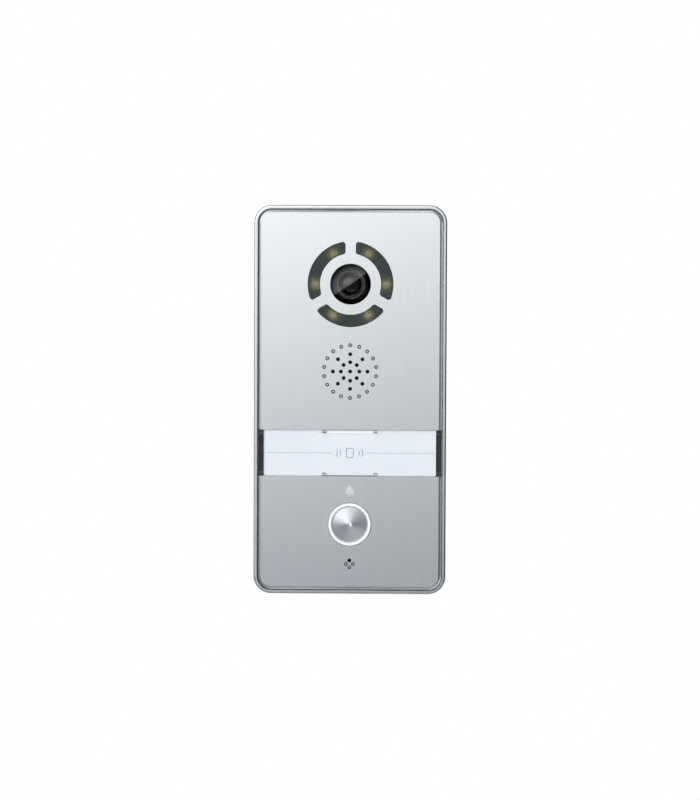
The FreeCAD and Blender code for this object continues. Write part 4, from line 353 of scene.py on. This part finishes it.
brushed, tree, shader = finish(
    "brushed_stainless_steel", Metallic=1.0, Roughness=0.30, Anisotropic=0.8,
)
scratches = grain(tree, 0.3, 0.3, 45, detail=3.0)
bands = grain(tree, 2.5, 2.5, 160, detail=1.0)
both = add(tree, "Mix", {0: BAND_SHARE, 2: scratches, 3: bands}).outputs[0]
tint(tree, shader, both, "#DDE1E4", "#E3E7EA")
vary(tree, shader, scratches, 0.28, 0.32)
relief(tree, shader, scratches, 0.0004)
# Painted shade: within the plates' middle, surfaces that slope away from the face (the dimples' walls) take a flat
# dark grey in place of the brushed colour.
slope = add(tree, "SeparateXYZ", {0: add(tree, "NewGeometry").outputs["Normal"]})
sloping = add(tree, "MapRange", {"Value": slope.outputs["Y"], "From Min": FLAT_SLOPE, "From Max": STEEP_SLOPE})
brushed_colour = shader.inputs["Base Color"].links[0].from_socket
place = add(tree, "VectorMath", {0: add(tree, "TexCoord").outputs["Object"]}, operation="ABSOLUTE")
place = add(tree, "SeparateXYZ", {0: place.outputs[0]})
inside = add(tree, "Math", {0: place.outputs["X"], 1: SHADE_HALF_WIDTH_MM * MM}, operation="LESS_THAN")
within = add(tree, "Math", {0: place.outputs["Z"], 1: SHADE_HALF_HEIGHT_MM * MM}, operation="LESS_THAN")
inside = add(tree, "Math", {0: inside.outputs[0], 1: within.outputs[0]}, operation="MULTIPLY")
painted_dimple_shade = add(tree, "Math", {0: sloping.outputs[0], 1: inside.outputs[0]}, operation="MULTIPLY")
brushed_and_shaded_colour = add(tree, "Mix", {0: painted_dimple_shade.outputs[0], 6: brushed_colour, 7: linear(DIMPLE_SHADE_GREY)}, data_type="RGBA")
tree.links.new(brushed_and_shaded_colour.outputs[2], shader.inputs["Base Color"])
dress(brushed, "upper_face_plate", "lower_face_plate")


# ---- Carrier, seals and other black moulded parts -------------------------------------------------------------
# The carrier under the plates, the guide, the switches and the lens holder are black ABS and acetal with a fine
# spark-eroded skin of about 0.2 mm grain. Seals and boots are black silicone rubber, dull and a little dusty.

abs_black, tree, shader = finish("moulded_black_abs", Roughness=0.45, IOR=1.54)
skin = grain(tree, 0.3, 0.3, 0.3)
tint(tree, shader, skin, "#2A2C2F", "#343639")
vary(tree, shader, grain(tree, 4, 4, 4), 0.40, 0.52)
relief(tree, shader, skin, 0.01)
dress(abs_black, "front_carrier", "lens_holder", "push_switch", "tamper_switch")

acetal, tree, shader = finish("turned_black_acetal", Roughness=0.35, IOR=1.48)
turning = grain(tree, 0.5, 0.15, 0.5)
tint(tree, shader, turning, "#17181A", "#202123")
relief(tree, shader, turning, 0.004)
dress(acetal, "button_guide", "switch_plunger", "tamper_pin")

rubber, tree, shader = finish("black_silicone_rubber", Roughness=0.72, IOR=1.41)
dust = grain(tree, 1.2, 1.2, 1.2, detail=4.0)
tint(tree, shader, dust, "#141415", "#1E1E20")
relief(tree, shader, grain(tree, 0.15, 0.15, 0.15), 0.008)
dress(rubber, "camera_window_seal", "speaker_seal", "button_seal", "microphone_boot", "rear_seal")


# ---- Camera -----------------------------------------------------------------------------------------------
# A flat polycarbonate window over a black anodised barrel with two coated glass lenses, an iris between them and the
# image sensor behind. The coatings leave the glass dark, with little to mirror.

window, tree, shader = finish("clear_polycarbonate_window", Roughness=0.0, IOR=1.585, Transmission_Weight=1.0)
haze = grain(tree, 3, 3, 3)
tint(tree, shader, haze, "#F4F6F7", "#FBFCFC")
dress(window, "camera_window")

anodised, tree, shader = finish("black_anodised_aluminium", Metallic=0.35, Roughness=0.38)
turned = grain(tree, 0.9, 0.1, 0.9)
tint(tree, shader, turned, "#4A4D52", "#55585D")
vary(tree, shader, turned, 0.34, 0.44)
dress(anodised, "lens_barrel", "iris")

coated, tree, shader = finish(
    "coated_optical_glass", Roughness=0.0, IOR=1.5, Transmission_Weight=1.0,
)
tint(tree, shader, grain(tree, 5, 5, 5), "#474751", "#50505A")
dress(coated, "front_lens", "rear_lens")

die, tree, shader = finish("image_sensor_die", Roughness=0.12, IOR=1.5, Coat_Weight=0.6, Coat_Roughness=0.03)
cells = grain(tree, 0.2, 0.2, 0.2)
tint(tree, shader, cells, "#211A2B", "#35273B")
dress(die, "image_sensor", "light_sensors")


# ---- Camera lights ----------------------------------------------------------------------------------------
# Six diodes with a yellow phosphor, faintly lit, under three arcs of smoked polycarbonate. The arcs' back face is
# frosted, so each diode shows as a soft glow about 4 mm across.

smoked, tree, shader = finish(
    "smoked_frosted_polycarbonate", Roughness=0.8, IOR=1.585, Transmission_Weight=0.8,
)
tint(tree, shader, grain(tree, 7, 7, 7), "#62787A", "#6C8284")
dress(smoked, "camera_light_window")

phosphor, tree, shader = finish("diode_phosphor", Roughness=0.5, Emission_Color="#FFC276", Emission_Strength=6.5)
tint(tree, shader, grain(tree, 0.3, 0.3, 0.3), "#D8C06A", "#EBD78C")
dress(phosphor, "camera_lights")


# ---- Speaker ----------------------------------------------------------------------------------------------
# A paper-thin cone in a pressed basket with a ferrite magnet, behind a woven black wire mesh that keeps water out.

wire, tree, shader = finish("blackened_wire_mesh", Metallic=0.8, Roughness=0.42)
tint(tree, shader, grain(tree, 0.2, 0.2, 0.2), "#232427", "#303236")
dress(wire, "speaker_mesh")

# The mesh is woven here from single wires, half a millimetre apart, each over and under its neighbours.

MESH_PITCH = 0.5
MESH_WIRE = 0.09
MESH_RADIUS = 12.3
MESH_MIDDLE = 31.3
STEPS_PER_PITCH = 4
SPEAKER_Z = (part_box("speaker_mesh")[0][2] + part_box("speaker_mesh")[1][2]) / 2 / MM


def wire_run(offset, phase, upright):
    """One wavy square wire of the mesh: its height is half a wire times the cosine of half a turn per pitch."""
    half_run = math.sqrt(MESH_RADIUS ** 2 - offset ** 2)
    count = max(3, round(2 * STEPS_PER_PITCH * half_run / MESH_PITCH))
    along = np.linspace(-half_run, half_run, count)
    out = MESH_MIDDLE + phase * 0.5 * MESH_WIRE * np.cos(math.pi * along / MESH_PITCH)
    corners = []
    for side, rise in ((-1, -1), (1, -1), (1, 1), (-1, 1)):
        beside = offset + side * MESH_WIRE / 2
        for place, height in zip(along, out + rise * MESH_WIRE / 2):
            x, z = (beside, place) if upright else (place, beside)
            corners.append((x, height, z + SPEAKER_Z))
    faces = [(0, count, 2 * count, 3 * count), (4 * count - 1, 3 * count - 1, 2 * count - 1, count - 1)]
    for first, second in ((0, 1), (1, 2), (2, 3), (3, 0)):
        faces += [(first * count + i, first * count + i + 1, second * count + i + 1, second * count + i)
                  for i in range(count - 1)]
    if upright:
        faces = [tuple(reversed(face)) for face in faces]
    return corners, faces


wires = []
wire_count = int(MESH_RADIUS / MESH_PITCH)
for number in range(-wire_count, wire_count + 1):
    phase = 1 if number % 2 else -1
    wires += [wire_run(number * MESH_PITCH, phase, True), wire_run(number * MESH_PITCH, -phase, False)]
woven = piece("woven_speaker_mesh", wires, wire)
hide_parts("speaker_mesh")

film, tree, shader = finish("moulded_cone_film", Roughness=0.55)
tint(tree, shader, grain(tree, 1, 1, 1), "#1A1A1C", "#242427")
dress(film, "speaker_cone")

ferrite, tree, shader = finish("sintered_ferrite", Roughness=0.6)
pores = grain(tree, 0.25, 0.25, 0.25, detail=4.0)
tint(tree, shader, pores, "#26272A", "#37383B")
relief(tree, shader, pores, 0.02)
dress(ferrite, "speaker_magnet", "power_transformer")


# ---- Name panel -------------------------------------------------------------------------------------------
# A clear polycarbonate snap-in panel over a white card that shines with the backlight behind it. The snap legs, at
# the middle of its long edges, are milky where the mould left them rough.

NAME_Z = (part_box("name_panel")[0][2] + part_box("name_panel")[1][2]) / 2 / MM
LEG_REACH_MM, LEG_START_MM = 14.8, 10.7
CLEAR_SHARE, MILKY_CLEAR_SHARE = 1.0, 0.15

panel_clear, tree, shader = finish("clear_polycarbonate_panel", Roughness=0.02, IOR=1.585, Transmission_Weight=1.0)
tint(tree, shader, grain(tree, 9, 9, 9), "#F7FAFD", "#FCFDFE")
place = add(tree, "VectorMath", {
    0: add(tree, "TexCoord").outputs["Object"], 1: (0.0, 0.0, NAME_Z * MM),
}, operation="SUBTRACT")
place = add(tree, "VectorMath", {0: place.outputs[0]}, operation="ABSOLUTE")
place = add(tree, "SeparateXYZ", {0: place.outputs[0]})
near = add(tree, "Math", {0: place.outputs["X"], 1: LEG_REACH_MM * MM}, operation="LESS_THAN")
edge = add(tree, "Math", {0: place.outputs["Z"], 1: LEG_START_MM * MM}, operation="GREATER_THAN")
leg = add(tree, "Math", {0: near.outputs[0], 1: edge.outputs[0]}, operation="MULTIPLY")
clear = add(tree, "MapRange", {"Value": leg.outputs[0], "To Min": CLEAR_SHARE, "To Max": MILKY_CLEAR_SHARE})
tree.links.new(clear.outputs[0], shader.inputs["Transmission Weight"])
dress(panel_clear, "name_panel")

card_white, tree, shader = finish(
    "lit_translucent_card", Roughness=0.7, Emission_Color="#F6F9FF", Emission_Strength=0.50,
)
tint(tree, shader, grain(tree, 0.4, 0.4, 0.4, detail=4.0), "#E9ECF2", "#EFF2F7")
dress(card_white, "name_card")

acrylic, tree, shader = finish(
    "lit_white_acrylic", Roughness=0.3, IOR=1.49, Emission_Color="#FFFFFF", Emission_Strength=0.22,
)
tint(tree, shader, grain(tree, 5, 5, 5), "#F1F2F3", "#F8F8F8")
dress(acrylic, "light_guide", "button_light_ring")

lit_diode, tree, shader = finish("lit_white_diode", Roughness=0.4, Emission_Color="#F4F7FF", Emission_Strength=2.0)
tint(tree, shader, grain(tree, 0.3, 0.3, 0.3), "#EDEBDD", "#F7F5EA")
dress(lit_diode, "backlights", "ring_lights")


# The card's print: a thin line, and a tag reader's sign of a rounded card and two waves, screen printed in grey.

PRINT_LOW, PRINT_HIGH = 30.35, 30.38
LINE_ENDS = ((-43.4, -8.8), (8.8, 43.4))
LINE_HALF, WAVE_HALF = 0.2, 0.22
CARD_Z = (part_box("name_card")[0][2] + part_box("name_card")[1][2]) / 2 / MM
pale_ink, tree, shader = finish("pale_screen_ink", Roughness=0.6, Emission_Color="#D2D8E0", Emission_Strength=0.35)
tint(tree, shader, grain(tree, 0.3, 0.3, 0.3), "#CBD1D9", "#D3D9E1")
grey_ink, tree, shader = finish("grey_screen_ink", Roughness=0.6, Emission_Color="#B4B9C1", Emission_Strength=0.3)
tint(tree, shader, grain(tree, 0.3, 0.3, 0.3), "#A3A8B0", "#ADB2BA")


def bar(left, right, low, high):
    """Corners of an upright rectangle."""
    return [(left, low), (right, low), (right, high), (left, high)]


def rounded(half_width, half_height, radius, z):
    """Corners of a rounded rectangle round x = 0, four quarter circles of five steps."""
    quarters = ((1, -1, -90), (1, 1, 0), (-1, 1, 90), (-1, -1, 180))
    return [point for x, up, start in quarters for point in
            arc(radius, start, start + 90, 5, x * (half_width - radius), z + up * (half_height - radius))]


print_lines = [prism(bar(*ends, CARD_Z - LINE_HALF, CARD_Z + LINE_HALF), PRINT_LOW, PRINT_HIGH)
               for ends in LINE_ENDS]
piece("card_print_lines", print_lines, pale_ink)
sign = [prism(rounded(2.05, 2.6, 0.9, CARD_Z), PRINT_LOW, PRINT_HIGH, rounded(1.6, 2.15, 0.55, CARD_Z))]
for wave_radius, spread in ((4.85, 17), (6.6, 18)):
    for middle in (0, 180):
        near = arc(wave_radius - WAVE_HALF, middle - spread, middle + spread, 10, 0.0, CARD_Z)
        far = arc(wave_radius + WAVE_HALF, middle - spread, middle + spread, 10, 0.0, CARD_Z)
        sign.append(prism(far + near[::-1], PRINT_LOW, PRINT_HIGH))
piece("card_reader_sign", sign, grey_ink)


# ---- Call button ------------------------------------------------------------------------------------------
# A turned aluminium cap with a shallow cone in front. The lathe's rings spread a reflection inwards and outwards, so
# the cone shows bright and dark sectors that meet at its middle.

cap_low, cap_high = (Vector(corner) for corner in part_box("button_cap"))
cap_middle = (cap_low + cap_high) / 2

turned_cap, tree, shader = finish(
    "lathe_turned_aluminium", Metallic=1.0, Roughness=0.25, Anisotropic=0.95, Anisotropic_Rotation=0.25,
)
spot = add(tree, "VectorMath", {
    0: add(tree, "TexCoord").outputs["Object"], 1: (cap_middle.x, 0.0, cap_middle.z),
}, operation="SUBTRACT")
flat = add(tree, "VectorMath", {0: spot.outputs[0], 1: (1.0, 0.0, 1.0)}, operation="MULTIPLY")
radius = add(tree, "VectorMath", {0: flat.outputs[0]}, operation="LENGTH")
rings = add(tree, "TexNoise", {"W": radius.outputs["Value"], "Scale": 1 / (0.3 * MM), "Detail": 3.0},
            noise_dimensions="1D")
tint(tree, shader, rings.outputs["Fac"], "#C3C6CC", "#D2D5DA")
round_the_axis = add(tree, "Tangent", direction_type="RADIAL", axis="Y")
tree.links.new(round_the_axis.outputs[0], shader.inputs["Tangent"])
dress(turned_cap, "button_cap")

# A plain bell above the button, screen printed in white on the lower plate.

BELL_Z = -46.9
BELL_LOW, BELL_HIGH = 32.58, 32.63
white_ink, tree, shader = finish("white_screen_ink", Roughness=0.55)
tint(tree, shader, grain(tree, 0.3, 0.3, 0.3), "#E6E8EA", "#EEF0F1")
# Corners of the bell's right half, from its rim up.
half_bell = [
    (2.5, -1.65), (2.5, -1.25), (1.95, -0.6), (1.8, 0.8), (1.5, 1.5), (1.0, 2.05), (0.4, 2.3), (0.4, 2.75),
]
bell_outline = [(x, z + BELL_Z) for x, z in half_bell] + [(-x, z + BELL_Z) for x, z in half_bell[::-1]]
clapper = arc(0.75, 180, 360, 10, 0.0, BELL_Z - 1.95)
piece("bell_sign", [prism(bell_outline, BELL_LOW, BELL_HIGH), prism(clapper, BELL_LOW, BELL_HIGH)], white_ink)

spring_wire, tree, shader = finish("drawn_spring_wire", Metallic=1.0, Roughness=0.25)
tint(tree, shader, grain(tree, 0.4, 0.4, 0.4), "#A9ABAD", "#BDBFC1")
dress(spring_wire, "button_spring", "tamper_spring")


# The return spring is wound again here from the same wire, as a coil with a mesh of its own, as long as the rigid one,
# which would stand through the pressed cap.

SPRING_WIRE_RADIUS = 0.3
SPRING_TURNS = 4
SPRING_STEPS = 48
spring_low, spring_high = (Vector(corner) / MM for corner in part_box("button_spring"))
spring_radius = (spring_high.x - spring_low.x) / 2 - SPRING_WIRE_RADIUS
spring_x, spring_z = (spring_low.x + spring_high.x) / 2, (spring_low.z + spring_high.z) / 2
spring_back, spring_length = -spring_high.y, spring_high.y - spring_low.y

# The wire's middle turns round the spring's axis and climbs evenly; eight corners stand round it at each step.
count = SPRING_TURNS * SPRING_STEPS + 1
turn = np.linspace(0, 2 * math.pi * SPRING_TURNS, count)[:, None]
climb_mm = np.linspace(SPRING_WIRE_RADIUS, spring_length - SPRING_WIRE_RADIUS, count)[:, None]
round_wire = np.arange(8)[None, :] * math.pi / 4
reach = spring_radius + SPRING_WIRE_RADIUS * np.cos(round_wire)
coil = np.stack([
    spring_x + reach * np.cos(turn), spring_back + climb_mm + SPRING_WIRE_RADIUS * np.sin(round_wire),
    spring_z + reach * np.sin(turn),
], axis=-1).reshape(-1, 3)
coil_faces = [(8 * i + j, 8 * i + (j + 1) % 8, 8 * i + 8 + (j + 1) % 8, 8 * i + 8 + j)
              for i in range(count - 1) for j in range(8)]
coil_faces += [tuple(range(7, -1, -1)), tuple(8 * (count - 1) + j for j in range(8))]
coil_corners = [tuple(corner) for corner in coil]
coiled = piece("button_return_spring", [(coil_corners, coil_faces)], spring_wire)
coiled.data.polygons.foreach_set("use_smooth", [True] * len(coil_faces))
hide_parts("button_spring")
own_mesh(coiled)


# ---- Boards and what stands on them -----------------------------------------------------------------------
# Glass-epoxy boards under green solder mask with copper tracks, black epoxy chips, a tinned shield and sleeved
# capacitors, a blue relay and green screw terminals.

laminate, tree, shader = finish("solder_masked_laminate", Roughness=0.3, Coat_Weight=0.3, Coat_Roughness=0.1)
spot = add(tree, "Mapping", {"Vector": add(tree, "TexCoord").outputs["Object"], "Scale": (1 / MM, 1 / MM, 1 / MM)})
tracks = add(tree, "TexVoronoi", {"Vector": spot.outputs[0], "Scale": 0.55}, distance="MANHATTAN")
tint(tree, shader, tracks.outputs["Distance"], "#0B4A2B", "#11613A")
relief(tree, shader, tracks.outputs["Distance"], 0.02)
dress(laminate, "main_board", "camera_board", "camera_light_board", "reader_board")

epoxy, tree, shader = finish("moulded_chip_epoxy", Roughness=0.5)
tint(tree, shader, grain(tree, 0.2, 0.2, 0.2), "#121214", "#1B1B1D")
dress(epoxy, "circuit_chips")

tinned, tree, shader = finish("tinned_sheet_steel", Metallic=1.0, Roughness=0.3)
bloom = grain(tree, 2, 2, 2, detail=3.0)
tint(tree, shader, bloom, "#B4B5B4", "#CBCCCB")
vary(tree, shader, bloom, 0.24, 0.36)
dress(tinned, "processor_shield", "network_socket")

copper, tree, shader = finish("masked_copper_track", Metallic=0.7, Roughness=0.35)
tint(tree, shader, grain(tree, 1, 1, 1), "#3F7A3E", "#5A8A48")
dress(copper, "reader_coil")

felt, tree, shader = finish("black_acoustic_felt", Roughness=0.95)
tint(tree, shader, grain(tree, 0.2, 0.2, 0.2), "#0B0B0C", "#141415")
dress(felt, "microphone_capsule")

sleeve, tree, shader = finish("sleeved_capacitor_can", Roughness=0.25, Coat_Weight=0.4, Coat_Roughness=0.1)
tint(tree, shader, grain(tree, 1, 1, 1), "#1B1E26", "#252935")
dress(sleeve, "capacitors")

relay_blue, tree, shader = finish("moulded_relay_case", Roughness=0.35, IOR=1.54)
tint(tree, shader, grain(tree, 0.4, 0.4, 0.4), "#173A78", "#1D458A")
dress(relay_blue, "door_relay")

polyamide, tree, shader = finish("moulded_green_polyamide", Roughness=0.42, IOR=1.53)
skin = grain(tree, 0.3, 0.3, 0.3)
tint(tree, shader, skin, "#1B7C45", "#238B50")
relief(tree, shader, skin, 0.006)
dress(polyamide, "terminal_block")


# ---- Back: cover, wall plate and screws -------------------------------------------------------------------
# The rear cover is dark grey ABS with a coarse moulded texture. The wall plate is pressed steel, zinc plated, with the
# cloudy bluish bloom that zinc has. The screws are stainless steel.

cover_skin, tree, shader = finish("textured_dark_abs", Roughness=0.55, IOR=1.54)
texture = grain(tree, 0.5, 0.5, 0.5, detail=3.0)
tint(tree, shader, texture, "#232427", "#2F3033")
relief(tree, shader, texture, 0.04)
dress(cover_skin, "rear_cover")

zinc, tree, shader = finish("zinc_plated_steel", Metallic=1.0, Roughness=0.34)
cloud = grain(tree, 5, 5, 5, detail=4.0)
tint(tree, shader, cloud, "#A3A8AE", "#C2C6CA")
vary(tree, shader, cloud, 0.26, 0.44)
relief(tree, shader, grain(tree, 0.3, 0.3, 12), 0.003)
dress(zinc, "wall_plate", "speaker_basket")

stainless, tree, shader = finish("turned_stainless_screw", Metallic=1.0, Roughness=0.26)
tint(tree, shader, grain(tree, 0.3, 0.3, 0.3), "#A6A8AB", "#BEC0C3")
dress(stainless, "camera_screws", "lamp_board_screws", "terminal_screws", "board_screws", "carrier_screws",
      "cover_screws", "lock_screw")
